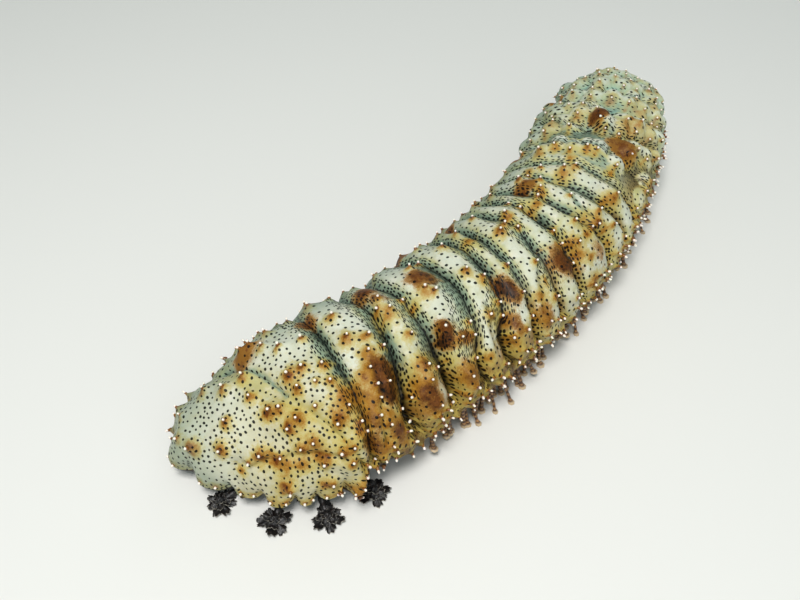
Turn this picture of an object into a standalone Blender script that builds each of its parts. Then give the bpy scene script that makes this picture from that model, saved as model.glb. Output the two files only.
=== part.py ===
# A sea cucumber at rest on the floor, life size, as a still museum model.
# Metres, +Z up. The head points towards +X, and the tube feet stand on z = 0.
# s is the distance along the back from the tail tip, in metres.
# The angle round the body is in degrees: 0 on the back, +90 on the left flank, 180 on the sole.
import bpy
import bmesh
import math
import random
import numpy as np
from mathutils import Matrix, Vector

# Driving dimensions of the body
GAP = 0.0003  # between neighbouring pieces
SPINE = ((-0.175, -0.026), (-0.155, -0.014), (-0.098, 0.004), (-0.039, 0.015), (0.013, 0.015),
         (0.055, 0.009), (0.097, -0.001), (0.123, -0.008), (0.147, -0.012), (0.168, -0.010))
STATIONS = (0.000, 0.043, 0.090, 0.215, 0.262, 0.300, 0.322, 0.353)  # s of the widths and heights below
HALF_WIDTHS = (0.034, 0.035, 0.0365, 0.0375, 0.0385, 0.042, 0.043, 0.041)
HEIGHTS = (0.042, 0.054, 0.060, 0.060, 0.060, 0.057, 0.050, 0.034)
MIDDLE_HEIGHTS = (0.020, 0.026, 0.010)  # level of the widest line at the tail, trunk and front rim
MIDDLE_STATIONS = (0.000, 0.060, 0.313, 0.353)
BELLY_LEVEL = 0.008
SOLE_FLATNESS = 1.35  # above 1 the underside is flat
TAIL_ROUND = 0.060  # length over which the width closes at each end
HEAD_ROUND = 0.022
RISE_ROUNDS = (0.034, 0.012)  # the same for the back, at the tail and at the head
DROP_ROUNDS = (0.020, 0.008)  # and for the underside
HEAD_TURN = math.radians(16)  # the front rim looks a little to the animal's left
TURN_LENGTH = 0.050
RING_SIDES = 24

# Furrows across the back: s on the right flank, on the back and on the left flank, and depth
FURROWS = (
    (0.033, 0.036, 0.034, 0.0012),
    (0.052, 0.055, 0.050, 0.0015),
    (0.062, 0.074, 0.066, 0.0016),
    (0.090, 0.094, 0.083, 0.0026),
    (0.116, 0.111, 0.109, 0.0030),
    (0.137, 0.129, 0.128, 0.0024),
    (0.149, 0.146, 0.141, 0.0026),
    (0.163, 0.161, 0.157, 0.0030),
    (0.171, 0.174, 0.178, 0.0040),
    (0.184, 0.186, 0.193, 0.0022),
    (0.199, 0.203, 0.211, 0.0028),
    (0.211, 0.215, 0.225, 0.0036),
    (0.233, 0.235, 0.240, 0.0032),
    (0.256, 0.258, 0.260, 0.0050),
    (0.273, 0.274, 0.282, 0.0040),
    (0.295, 0.296, 0.304, 0.0026),
    (0.323, 0.322, 0.319, 0.0012),
)
FLANK_ANGLE = 50  # degrees, where the flank values above are read
FOLD_STEPS = (0.14, 0.50, 0.86)  # rings between two furrows
FOLD_ROUNDNESS = 2.6
TAIL_STEPS = (0.0003, 0.0016, 0.0045, 0.009, 0.015, 0.022, 0.029)
HEAD_STEPS = (0.327, 0.333, 0.338, 0.3425, 0.3465, 0.3495, 0.3515, 0.3528)

# Body nodes, cut at furrows: name, index of the furrow at its front end
SECTIONS = (("tail", 3), ("trunk_rear", 7), ("trunk_middle", 11), ("trunk_front", 14), ("head", None))

# Papillae, which end in a small blunt tip
PAPILLA_SIDES = 5
PAPILLA_TRIES = 5200
PAPILLA_SPACING = 0.0112
PAPILLA_SINK = 0.0024
PAPILLA_TIP = 0.0008
BACK_PAPILLA = (0.0022, 0.0031)  # base radius, height
SIDE_PAPILLA = (0.0019, 0.0043)
CUT_CLEARANCE = 0.0046

# Lobes of the scalloped front rim
LOBE_ANGLES = (-128, -107, -88, -70, -52, -34, -16, 3, 22, 40, 57, 74, 92, 112, 131)
LOBE_LENGTH = 0.0068
LOBE_BASE = 0.0056
LOBE_SINK = 0.0044

# Hollow under the hood, mouth and tentacles
MOUTH_S = 0.315
MOUTH_SIDES = 20
MOUTH_RADIUS = 0.014
MOUTH_BOTTOM = 0.0066
HOLLOW_TOP = 0.0151
HOLLOW_WIDE = 0.029
HOLLOW_NARROW = 0.021
STALK_RADIUS = 0.00155
STALK_LEVEL = 0.0108
STALK_BENDS = ((0.0185, 0.0092), (0.0245, 0.0040))  # distance from the mouth's axis, and level
SHORT_BEND_LEVEL = 0.0045
STALK_END_LEVEL = 0.0014
LONG_REACHES = {1: 0.0368, 3: 0.0360, 5: 0.0385, 15: 0.0395, 17: 0.0540, 19: 0.0430}  # by number
SHORT_REACH = 0.0228
LONG_DISC = 0.0082
BEHIND_REACH = 0.0314  # near the sole, which leaves less room
BEHIND_DISC = 0.0058
SHORT_DISC = 0.0046
DISC_THICKNESS = 0.0024

# Sole with its tube feet
SOLES = (("sole_rear", 0.020, 0.139), ("sole_middle", 0.1393, 0.209), ("sole_front", 0.2093, 0.272))
SOLE_SHARE = 0.64  # of the body's half width
SOLE_UNDERSIDE = 0.0034
SOLE_CHAMFER = 0.0030
FOOT_SPACING = 0.0074
FOOT_SIDES = 5
FOOT_ROOT = 0.00115
FOOT_DISC = 0.0018
FOOT_NECK_LEVEL = 0.0014
FOOT_SINK = 0.0014
FOOT_ROWS = ((0.90, 0.0085), (0.62, 0.0015), (0.0, 0.0), (-0.62, -0.0015), (-0.90, -0.0085))  # share of width, splay

random.seed(41)
for old in list(bpy.data.objects):
    bpy.data.objects.remove(old, do_unlink=True)


# Collections and materials

def new_collection(name):
    made = bpy.data.collections.new(name)
    bpy.context.scene.collection.children.link(made)
    return made


ANIMAL = new_collection("sea_cucumber")
CUTTERS = new_collection("cutters")


def new_material(name, colour, roughness):
    made = bpy.data.materials.new(name)
    made.use_nodes = True
    shader = made.node_tree.nodes["Principled BSDF"]
    shader.inputs["Base Color"].default_value = (*colour, 1)
    shader.inputs["Roughness"].default_value = roughness
    shader.inputs["Metallic"].default_value = 0
    made.diffuse_color = (*colour, 1)
    return made


SKIN = new_material("skin", (0.60, 0.52, 0.34), 0.45)
SOLE_SKIN = new_material("sole_skin", (0.30, 0.16, 0.08), 0.5)
MOUTH_SKIN = new_material("mouth_skin", (0.05, 0.04, 0.04), 0.45)
TENTACLE_SKIN = new_material("tentacle_skin", (0.03, 0.03, 0.03), 0.45)


# The body's surface

def smooth_line(points, steps):
    """A smooth curve through the points, as many short straight steps."""
    p = np.array(points)
    p = np.vstack([2 * p[0] - p[1], p, 2 * p[-1] - p[-2]])
    t = np.linspace(0, 1, steps, endpoint=False)[:, None]
    runs = []
    for a, b, c, d in zip(p[:-3], p[1:-2], p[2:-1], p[3:]):
        runs.append(0.5 * (2 * b + (c - a) * t + (2 * a - 5 * b + 4 * c - d) * t ** 2
                           + (3 * b - a - 3 * c + d) * t ** 3))
    return np.vstack(runs + [p[-2:-1]])


LINE = smooth_line(SPINE, 24)
ALONG = np.concatenate([[0], np.cumsum(np.hypot(*np.diff(LINE, axis=0).T))])
LENGTH = ALONG[-1]
TANGENT = np.gradient(LINE, axis=0)
HEADING = np.convolve(np.pad(np.arctan2(TANGENT[:, 1], TANGENT[:, 0]), 7, mode="edge"),
                      np.ones(15) / 15, mode="valid")


def spine_at(s):
    """Place on the spine and heading of the cross section there."""
    turned = min(max((s - (LENGTH - TURN_LENGTH - 0.010)) / TURN_LENGTH, 0), 1)
    turned = turned * turned * (3 - 2 * turned)
    heading = np.interp(s, ALONG, HEADING) + HEAD_TURN * turned
    return np.interp(s, ALONG, LINE[:, 0]), np.interp(s, ALONG, LINE[:, 1]), heading


def closing(distance, length, power, root):
    """Grows from 0 at the body's end to 1 at the given length."""
    left = min(max(1 - distance / length, 0), 1)
    return (1 - left ** power) ** (1 / root)


def profile(s):
    """Half width, level of the widest line, rise above it and drop below it."""
    front = LENGTH - s
    wide = np.interp(s, STATIONS, HALF_WIDTHS) * closing(s, TAIL_ROUND, 2, 2) * closing(front, HEAD_ROUND, 3, 2)
    tail_middle, trunk_middle, rim_middle = MIDDLE_HEIGHTS
    middle = np.interp(s, MIDDLE_STATIONS, (tail_middle, trunk_middle, trunk_middle, rim_middle))
    rise = (np.interp(s, STATIONS, HEIGHTS) - middle)
    rise *= closing(s, RISE_ROUNDS[0], 2, 2.2) * closing(front, RISE_ROUNDS[1], 2.4, 2)
    drop = (middle - BELLY_LEVEL) * closing(s, DROP_ROUNDS[0], 2, 2) * closing(front, DROP_ROUNDS[1], 2, 2)
    return wide, middle, rise, drop


def on_body(s, angle, depth=0.0):
    """A point of the body's surface, or of one that lies deeper by depth."""
    wide, middle, rise, drop = profile(s)
    x, y, heading = spine_at(s)
    turn = math.radians(angle)
    up = math.cos(turn)
    side = (wide - depth * min(1, wide / 0.02)) * math.sin(turn)
    if up > 0:
        z = middle + (rise - depth) * up
    else:
        z = middle - drop * min(1, -up * SOLE_FLATNESS)
    return Vector((x - side * math.sin(heading), y + side * math.cos(heading), z))


def normal_at(s, angle):
    step = 0.0012
    turn = 3
    ahead = on_body(min(s + step, LENGTH - 0.0004), angle) - on_body(max(s - step, 0.0004), angle)
    round_it = on_body(s, angle + turn) - on_body(s, angle - turn)
    return ahead.cross(round_it).normalized()


def furrow_s(index, angle):
    """Where a furrow crosses the given angle. Under the body it runs straight across."""
    right, back, left, _ = FURROWS[index]
    part = max(-1.15, min(1.15, angle / FLANK_ANGLE))
    bent = back + (left - right) / 2 * part + ((left + right) / 2 - back) * part * part
    under = min(max((abs(angle) - 80) / 40, 0), 1)
    return bent * (1 - under) + back * under


def fold_line(index, share, angle):
    """s of a line that lies between furrow index and the next one."""
    here = furrow_s(index, angle)
    return here + (furrow_s(index + 1, angle) - here) * share


def fold_depth(index, share, angle):
    crown = (1 - abs(2 * share - 1) ** FOLD_ROUNDNESS) ** (1 / FOLD_ROUNDNESS)
    depth = FURROWS[index][3] * (1 - share) + FURROWS[min(index + 1, len(FURROWS) - 1)][3] * share
    flank = min(max((105 - abs(angle)) / 25, 0), 1)
    return (depth * (1 - crown) - 0.0008 * crown) * flank


def ring(place):
    """The points of one ring; place is an s, or a furrow's index with a share of the next fold."""
    points = []
    for side in range(RING_SIDES):
        angle = -180 + 360 * side / RING_SIDES
        if isinstance(place, tuple):
            index, share, shift = place
            if share == 0:
                s = furrow_s(index, angle) + shift
            else:
                s = fold_line(index, share, angle)
            points.append(on_body(s, angle, fold_depth(index, share, angle)))
        else:
            points.append(on_body(place, angle))
    return points


# Meshes

def add_object(name, mesh, material, collection):
    made = bpy.data.objects.new(name, mesh)
    made.data.materials.append(material)
    collection.objects.link(made)
    return made


def loft(name, rings, ends, material, collection):
    """A closed body through the rings, with a fan to one point at each end."""
    bm = bmesh.new()
    rows = [[bm.verts.new(p) for p in points] for points in rings]
    count = len(rows[0])
    for near, far in zip(rows, rows[1:]):
        for i in range(count):
            j = (i + 1) % count
            bm.faces.new((near[i], far[i], far[j], near[j]))
    first = bm.verts.new(ends[0])
    last = bm.verts.new(ends[1])
    for i in range(count):
        j = (i + 1) % count
        bm.faces.new((first, rows[0][i], rows[0][j]))
        bm.faces.new((last, rows[-1][j], rows[-1][i]))
    bmesh.ops.recalc_face_normals(bm, faces=bm.faces)
    bmesh.ops.triangulate(bm, faces=bm.faces, quad_method="SHORT_EDGE")
    mesh = bpy.data.meshes.new(name)
    bm.to_mesh(mesh)
    bm.free()
    return add_object(name, mesh, material, collection)


def cone_between(name, root, tip, root_radius, tip_radius, sides, collection):
    """A blunt cone with flat ends, from root to tip."""
    axis = tip - root
    bm = bmesh.new()
    bmesh.ops.create_cone(bm, cap_ends=True, cap_tris=False, segments=sides,
                          radius1=root_radius, radius2=tip_radius, depth=axis.length)
    turn = axis.to_track_quat("Z", "Y").to_matrix().to_4x4()
    bmesh.ops.transform(bm, matrix=Matrix.Translation((root + tip) / 2) @ turn, verts=bm.verts)
    mesh = bpy.data.meshes.new(name)
    bm.to_mesh(mesh)
    bm.free()
    return add_object(name, mesh, SKIN, collection)


def apply_modifier(piece, modifier):
    bpy.context.view_layer.objects.active = piece
    bpy.context.view_layer.update()
    with bpy.context.temp_override(object=piece, active_object=piece):
        bpy.ops.object.modifier_apply(modifier=modifier.name)


def keep_largest(piece):
    """Drops every closed surface of the mesh but the largest."""
    bm = bmesh.new()
    bm.from_mesh(piece.data)
    bmesh.ops.remove_doubles(bm, verts=bm.verts, dist=0.000001)
    left = set(bm.faces)
    surfaces = []
    while left:
        first = left.pop()
        surface = [first]
        waiting = [first]
        while waiting:
            face = waiting.pop()
            beside = {other for edge in face.edges for other in edge.link_faces} & left
            left -= beside
            surface += beside
            waiting += beside
        surfaces.append(surface)
    surfaces.sort(key=len)
    loose = [face for surface in surfaces[:-1] for face in surface]
    bmesh.ops.delete(bm, geom=loose, context="FACES")
    bmesh.ops.triangulate(bm, faces=bm.faces)
    bm.to_mesh(piece.data)
    bm.free()


def fuse(piece, forms, solver="EXACT"):
    """Joins a collection of closed forms to the piece they grow from, and removes them."""
    union = piece.modifiers.new("grown_together", "BOOLEAN")
    union.operation = "UNION"
    union.operand_type = "COLLECTION"
    union.collection = forms
    union.solver = solver
    apply_modifier(piece, union)
    for form in list(forms.objects):
        bpy.data.objects.remove(form, do_unlink=True)
    bpy.data.collections.remove(forms)
    keep_largest(piece)


def cut_away(piece, cutter):
    cutter.hide_render = True
    cutter.display_type = "WIRE"
    difference = piece.modifiers.new("hollow", "BOOLEAN")
    difference.operation = "DIFFERENCE"
    difference.object = cutter
    difference.solver = "EXACT"
    apply_modifier(piece, difference)
    keep_largest(piece)


def finish_shading(piece):
    piece.data.shade_smooth()
    piece.data.set_sharp_from_angle(angle=math.radians(50))


# Body sections

def section_rings(first, last):
    """Ring places from one furrow to another; None is the tail tip or the front rim."""
    places = []
    if first is None:
        places += list(TAIL_STEPS)
        first = 0
        places.append((0, 0, 0))
    else:
        places.append((first, 0, GAP / 2))
    end = len(FURROWS) - 1 if last is None else last
    for index in range(first, end):
        places += [(index, share, 0) for share in FOLD_STEPS]
        if index + 1 < end or last is None:
            places.append((index + 1, 0, 0))
    if last is None:
        places += list(HEAD_STEPS)
    else:
        places.append((last, 0, -GAP / 2))
    return places


def end_point(place, outward):
    """The middle point of a section's end."""
    if isinstance(place, tuple):
        s = furrow_s(place[0], 0) + place[2]
    else:
        s = place
    x, y, heading = spine_at(s)
    middle = profile(s)[1]
    return Vector((x + outward * math.cos(heading), y + outward * math.sin(heading), middle))


def body_section(name, first, last):
    places = section_rings(first, last)
    rings = [ring(place) for place in places]
    ends = (end_point(places[0], 0 if first is not None else -0.0003),
            end_point(places[-1], 0 if last is not None else 0.0004))
    return loft(name, rings, ends, SKIN, ANIMAL)


def section_of(s, angle):
    """The body section that a place belongs to, or None where it is too near a cut."""
    for name, last in SECTIONS:
        if last is None:
            return name
        cut = furrow_s(last, angle)
        if abs(s - cut) < CUT_CLEARANCE:
            return None
        if s < cut:
            return name
    return None


# Papillae

def papilla_places():
    """Spread over the back and flanks, closer together and longer along the lower margin."""
    kept = []
    for _ in range(PAPILLA_TRIES):
        s = random.uniform(0.010, LENGTH - 0.010)
        angle = random.uniform(-104, 104)
        low = abs(angle) > 72
        if section_of(s, angle) is None:
            continue
        point = on_body(s, angle)
        if low:
            spacing = PAPILLA_SPACING * 0.82
        else:
            spacing = PAPILLA_SPACING * random.uniform(1.0, 1.35)
        if s > LENGTH - HEAD_ROUND and abs(angle) > 60:
            continue
        if all((point - other[2]).length > spacing for other in kept):
            kept.append((s, angle, point, low))
    return kept


def papilla(number, s, angle, point, low, collection):
    base, height = SIDE_PAPILLA if low else BACK_PAPILLA
    size = random.uniform(0.85, 1.15)
    normal = normal_at(s, angle)
    root = point - normal * PAPILLA_SINK
    tip = point + normal * height * size
    grown = base * (1 + PAPILLA_SINK / height * 0.6)
    return cone_between(f"papilla_{number:03d}", root, tip, grown * size, PAPILLA_TIP, PAPILLA_SIDES, collection)


# Hood: rim lobes and the hollow under it

def hood_frame():
    x, y, heading = spine_at(MOUTH_S)
    return Vector((x, y, 0)), heading


def rim_points(angle):
    """Points of the hood's edge seen from above, with their direction from the mouth."""
    centre, heading = hood_frame()
    found = []
    for step in range(240):
        s = 0.262 + (LENGTH - 0.0005 - 0.262) * step / 239
        for side in (-angle, angle):
            point = on_body(s, side)
            way = math.atan2(point.y - centre.y, point.x - centre.x) - heading
            way = (way + math.pi) % (2 * math.pi) - math.pi
            found.append((math.degrees(way), point))
    return found


def rim_lobe(number, way, collection):
    heading = hood_frame()[1]
    edge = rim_points(100)
    point = min(edge, key=lambda item: abs(item[0] - way))[1]
    turn = heading + math.radians(way)
    outward = Vector((math.cos(turn), math.sin(turn), -0.12))
    outward.normalize()
    inside = point - outward * LOBE_SINK
    inside.z = max(inside.z, 0.0125)
    tip = point + outward * LOBE_LENGTH * random.uniform(0.8, 1.1)
    tip.z = max(tip.z - 0.003, 0.0068)
    return cone_between(f"lobe_{number:02d}", inside, tip, LOBE_BASE, 0.0010, 7, collection)


def hood_hollow():
    centre, heading = hood_frame()
    bm = bmesh.new()
    low = -0.002
    bmesh.ops.create_cone(bm, cap_ends=True, segments=MOUTH_SIDES, radius1=HOLLOW_WIDE,
                          radius2=HOLLOW_NARROW, depth=HOLLOW_TOP - low)
    shift = Matrix.Translation((centre.x, centre.y, (HOLLOW_TOP + low) / 2))
    bmesh.ops.transform(bm, matrix=shift @ Matrix.Rotation(heading, 4, "Z"), verts=bm.verts)
    mesh = bpy.data.meshes.new("hood_hollow")
    bm.to_mesh(mesh)
    bm.free()
    return add_object("hood_hollow", mesh, SKIN, CUTTERS)


# Mouth and tentacles

def facet_angle(number):
    return 2 * math.pi * (number + 0.5) / MOUTH_SIDES


def mouth():
    centre, heading = hood_frame()
    bm = bmesh.new()
    top = HOLLOW_TOP - GAP
    bmesh.ops.create_cone(bm, cap_ends=True, segments=MOUTH_SIDES, radius1=MOUTH_RADIUS,
                          radius2=MOUTH_RADIUS, depth=top - MOUTH_BOTTOM)
    for vert in bm.verts:
        turn = math.atan2(vert.co.y, vert.co.x)
        number = round(turn / (2 * math.pi / MOUTH_SIDES))
        flat = 2 * math.pi * number / MOUTH_SIDES
        vert.co.x = MOUTH_RADIUS * math.cos(flat)
        vert.co.y = MOUTH_RADIUS * math.sin(flat)
    lower = [face for face in bm.faces if face.normal.z < -0.5]
    inset = bmesh.ops.inset_region(bm, faces=lower, thickness=0.0085)
    middle = [face for face in bm.faces if face.normal.z < -0.5 and face not in inset["faces"]]
    bmesh.ops.translate(bm, vec=(0, 0, 0.004), verts=list({v for face in middle for v in face.verts}))
    shift = Matrix.Translation((centre.x, centre.y, (top + MOUTH_BOTTOM) / 2))
    bmesh.ops.transform(bm, matrix=shift @ Matrix.Rotation(heading, 4, "Z"), verts=bm.verts)
    bmesh.ops.triangulate(bm, faces=bm.faces)
    mesh = bpy.data.meshes.new("mouth")
    bm.to_mesh(mesh)
    bm.free()
    return add_object("mouth", mesh, MOUTH_SKIN, ANIMAL)


def tentacle_reach(number):
    """Distance of the disc's middle from the mouth's axis, and the disc's radius."""
    if number % 2 == 0:
        return SHORT_REACH, SHORT_DISC
    if number not in LONG_REACHES:
        return BEHIND_REACH, BEHIND_DISC
    return LONG_REACHES[number], LONG_DISC * random.uniform(0.92, 1.0)


def tentacle_disc(name, centre, radius):
    """A flat disc on the floor with a frilled edge."""
    bm = bmesh.new()
    bmesh.ops.create_cone(bm, cap_ends=True, cap_tris=True, segments=10, radius1=radius,
                          radius2=radius * 0.72, depth=DISC_THICKNESS)
    for vert in bm.verts:
        turn = math.atan2(vert.co.y, vert.co.x)
        frill = 1 if round(turn / (math.pi / 5)) % 2 else 0.82
        vert.co.x *= frill
        vert.co.y *= frill
    bmesh.ops.translate(bm, vec=centre + Vector((0, 0, DISC_THICKNESS / 2)), verts=bm.verts)
    mesh = bpy.data.meshes.new(name)
    bm.to_mesh(mesh)
    bm.free()
    return add_object(name, mesh, TENTACLE_SKIN, ANIMAL)


def stalk(name, start, way, reach, collection):
    """A bent tube from the mouth's facet down to the disc."""
    side = Vector((-way.y, way.x, 0))
    facet = MOUTH_RADIUS * math.cos(math.pi / MOUTH_SIDES) + GAP
    (first_bend, first_level), (last_bend, last_level) = STALK_BENDS
    if reach == SHORT_REACH:
        last_bend, last_level = (first_bend + reach) / 2 + 0.0008, SHORT_BEND_LEVEL
    # distance from the axis, level, radius, and the ring's lean in degrees
    path = ((facet, STALK_LEVEL, STALK_RADIUS, 0), (first_bend, first_level, STALK_RADIUS, 35),
            (last_bend, last_level, STALK_RADIUS * 0.85, 50), (reach, STALK_END_LEVEL, STALK_RADIUS * 0.8, 40))
    rings = []
    for out, level, radius, lean in path:
        points = []
        for corner in range(5):
            turn = 2 * math.pi * corner / 5
            across = side * math.cos(turn) * radius
            up = Vector((0, 0, 1)) * math.cos(math.radians(lean)) + way * math.sin(math.radians(lean))
            points.append(start + way * out + Vector((0, 0, level)) + across + up * math.sin(turn) * radius)
        rings.append(points)
    ends = (start + way * facet + Vector((0, 0, STALK_LEVEL)),
            start + way * reach + Vector((0, 0, STALK_END_LEVEL - 0.0002)))
    return loft(name, rings, ends, TENTACLE_SKIN, collection)


def tentacle(number):
    name = f"tentacle_{number + 1:02d}"
    centre, heading = hood_frame()
    turn = heading + facet_angle(number)
    way = Vector((math.cos(turn), math.sin(turn), 0))
    reach, radius = tentacle_reach(number)
    disc = tentacle_disc(name, centre + way * reach, radius)
    stalks = new_collection(name + "_stalk")
    stalk(name + "_tube", centre, way, reach, stalks)
    fuse(disc, stalks)
    return disc


# Sole and tube feet

def sole_half_width(s):
    return profile(s)[0] * SOLE_SHARE


def sole_slab(name, start, end):
    count = max(4, round((end - start) / 0.009))
    rings = []
    for step in range(count + 1):
        s = start + (end - start) * step / count
        x, y, heading = spine_at(s)
        half = sole_half_width(s)
        corners = ((half, BELLY_LEVEL - GAP), (half, SOLE_UNDERSIDE + SOLE_CHAMFER * 0.6),
                   (half - SOLE_CHAMFER, SOLE_UNDERSIDE), (-half + SOLE_CHAMFER, SOLE_UNDERSIDE),
                   (-half, SOLE_UNDERSIDE + SOLE_CHAMFER * 0.6), (-half, BELLY_LEVEL - GAP))
        rings.append([Vector((x - side * math.sin(heading), y + side * math.cos(heading), z))
                      for side, z in corners])
    middle = (BELLY_LEVEL + SOLE_UNDERSIDE) / 2
    ends = []
    for s in (start, end):
        x, y, _ = spine_at(s)
        ends.append(Vector((x, y, middle)))
    return loft(name, rings, ends, SOLE_SKIN, ANIMAL)


def tube_foot(number, root, floor, collection):
    """A foot with its root in the sole and a flat disc on the floor."""
    bm = bmesh.new()
    bmesh.ops.create_cone(bm, cap_ends=True, segments=FOOT_SIDES, radius1=FOOT_DISC,
                          radius2=FOOT_ROOT, depth=root.z)
    walls = [edge for edge in bm.edges if abs(edge.verts[0].co.z - edge.verts[1].co.z) > root.z / 2]
    bmesh.ops.subdivide_edges(bm, edges=walls, cuts=1)
    for vert in bm.verts:
        height = vert.co.z + root.z / 2
        share = height / root.z
        if 0.2 < share < 0.8:
            size = FOOT_ROOT / math.hypot(vert.co.x, vert.co.y)
            vert.co.x *= size
            vert.co.y *= size
            share = FOOT_NECK_LEVEL / root.z
            height = FOOT_NECK_LEVEL
        place = floor.lerp(root, share ** 1.5)
        vert.co = Vector((vert.co.x + place.x, vert.co.y + place.y, height))
    mesh = bpy.data.meshes.new("tube_foot")
    bm.to_mesh(mesh)
    bm.free()
    return add_object(f"tube_foot_{number:03d}", mesh, SOLE_SKIN, collection)


def sole(name, start, end):
    slab = sole_slab(name, start, end)
    feet = new_collection(name + "_feet")
    count = int((end - start - 0.007) / FOOT_SPACING)
    number = 0
    level = BELLY_LEVEL - GAP - FOOT_SINK
    for row, (share, splay) in enumerate(FOOT_ROWS):
        for step in range(count + 1):
            s = start + 0.0035 + (end - start - 0.007) * (step + 0.5 * (row % 2)) / (count + 0.5)
            if row in (1, 2, 3) and step % 2:
                continue
            x, y, heading = spine_at(s)
            side = sole_half_width(s) * share
            reach = side + splay * random.uniform(0.55, 1.15)
            drift = random.uniform(-0.0009, 0.0009)
            root = Vector((x - side * math.sin(heading), y + side * math.cos(heading), level))
            floor = Vector((x - reach * math.sin(heading) + drift, y + reach * math.cos(heading), 0))
            tube_foot(number, root, floor, feet)
            number += 1
    fuse(slab, feet)
    return slab


# Build

made_nodes = []
grown = {name: new_collection(name + "_grown") for name, _ in SECTIONS}
for number, (s, angle, point, low) in enumerate(papilla_places()):
    papilla(number, s, angle, point, low, grown[section_of(s, angle)])
for number, way in enumerate(LOBE_ANGLES):
    rim_lobe(number, way, grown["head"])

start = None
for name, last in SECTIONS:
    section = body_section(name, start, last)
    if name == "head":
        cut_away(section, hood_hollow())
    fuse(section, grown[name])
    made_nodes.append(section)
    start = last

for name, first, last in SOLES:
    made_nodes.append(sole(name, first, last))
made_nodes.append(mouth())
for number in range(MOUTH_SIDES):
    made_nodes.append(tentacle(number))
for node in made_nodes:
    finish_shading(node)
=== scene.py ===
import bpy
import math
import random
import numpy as np
from mathutils import Matrix, Vector
from mathutils.kdtree import KDTree


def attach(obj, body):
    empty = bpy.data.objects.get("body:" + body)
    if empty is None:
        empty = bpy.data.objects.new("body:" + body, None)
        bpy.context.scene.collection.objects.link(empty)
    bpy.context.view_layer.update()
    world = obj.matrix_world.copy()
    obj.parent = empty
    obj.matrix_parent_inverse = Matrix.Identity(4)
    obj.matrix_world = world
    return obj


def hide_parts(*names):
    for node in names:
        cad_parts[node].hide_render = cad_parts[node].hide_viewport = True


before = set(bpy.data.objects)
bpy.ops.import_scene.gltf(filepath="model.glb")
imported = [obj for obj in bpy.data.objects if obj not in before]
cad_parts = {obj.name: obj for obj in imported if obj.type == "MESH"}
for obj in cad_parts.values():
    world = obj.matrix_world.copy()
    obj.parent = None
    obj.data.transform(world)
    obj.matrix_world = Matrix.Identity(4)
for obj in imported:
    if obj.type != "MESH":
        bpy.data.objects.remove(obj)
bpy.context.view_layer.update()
random.seed(7)
dice = np.random.default_rng(7)

# Metres, +Z up, the head towards +X and the tube feet on z = 0.
# s is the way along the back from the tail tip. An angle is 0 on the back, +90 on the left flank
# and 180 on the sole. Feature lists give s in millimetres.
mm = 0.001
degreeRound = 0.62  # millimetres round the body in one degree, about

bodyShape = {
    "spine": ((-0.175, -0.026), (-0.155, -0.014), (-0.098, 0.004), (-0.039, 0.015), (0.013, 0.015),
              (0.055, 0.009), (0.097, -0.001), (0.123, -0.008), (0.147, -0.012), (0.168, -0.010)),
    "stations": (0.000, 0.043, 0.090, 0.215, 0.262, 0.300, 0.322, 0.353),
    "halfWidths": (0.034, 0.035, 0.0365, 0.0375, 0.0385, 0.042, 0.043, 0.041),
    "heights": (0.042, 0.054, 0.060, 0.060, 0.060, 0.057, 0.050, 0.034),
    "middleStations": (0.000, 0.060, 0.313, 0.353),
    "middleLevels": (0.020, 0.026, 0.026, 0.010),  # level of the widest line
    "bellyLevel": 0.008,
    "bellyFlatness": 1.35,
    # how the width, the rise and the drop round off at the tail and at the head: length, power, root
    "wideEnds": ((0.060, 2, 2), (0.022, 3, 2)),
    "riseEnds": ((0.034, 2, 2.2), (0.012, 2.4, 2)),
    "dropEnds": ((0.020, 2, 2), (0.008, 2, 2)),
    "headTurn": math.radians(16),  # the rim looks a little to the animal's left
    "turnFrom": 0.060,  # before the front end
    "turnedBy": 0.010,
}


def smoothLine(points, steps):
    # a curve through the points, as many short straight steps
    p = np.array(points)
    p = np.vstack([2 * p[0] - p[1], p, 2 * p[-1] - p[-2]])
    t = np.linspace(0, 1, steps, endpoint=False)[:, None]
    runs = [0.5 * (2 * b + (c - a) * t + (2 * a - 5 * b + 4 * c - d) * t ** 2
                   + (3 * b - a - 3 * c + d) * t ** 3)
            for a, b, c, d in zip(p[:-3], p[1:-2], p[2:-1], p[3:])]
    return np.vstack(runs + [p[-2:-1]])


def ramp(value, low, high):
    # 0 below low, 1 above high, smooth between
    t = np.clip((value - low) / (high - low), 0, 1)
    return t * t * (3 - 2 * t)


def between(value, low, full, last, high):
    # 1 from full to last, 0 below low and above high
    return ramp(value, low, full) * (1 - ramp(value, last, high))


def bell(off, width, power=2):
    # 1 in the middle, about a third at the width
    return np.exp(-(off / width) ** power)


spineLine = smoothLine(bodyShape["spine"], 24)
spineAlong = np.concatenate([[0], np.cumsum(np.hypot(*np.diff(spineLine, axis=0).T))])
bodyLength = spineAlong[-1]
spineTangent = np.gradient(spineLine, axis=0)
headingBlur = 15  # steps that the heading is smoothed over
spineHeading = np.convolve(
    np.pad(np.arctan2(spineTangent[:, 1], spineTangent[:, 0]), headingBlur // 2, mode="edge"),
    np.ones(headingBlur) / headingBlur, mode="valid")


def spineAt(s):
    # place on the spine and heading of the section there
    turned = ramp(s, bodyLength - bodyShape["turnFrom"], bodyLength - bodyShape["turnedBy"])
    heading = np.interp(s, spineAlong, spineHeading) + bodyShape["headTurn"] * turned
    return np.interp(s, spineAlong, spineLine[:, 0]), np.interp(s, spineAlong, spineLine[:, 1]), heading


def rounded(value, s, ends):
    # the value brought down to 0 at the tail and at the head
    for distance, (length, power, root) in zip((s, bodyLength - s), ends):
        left = np.clip(1 - distance / length, 0, 1)
        value = value * (1 - left ** power) ** (1 / root)
    return value


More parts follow.
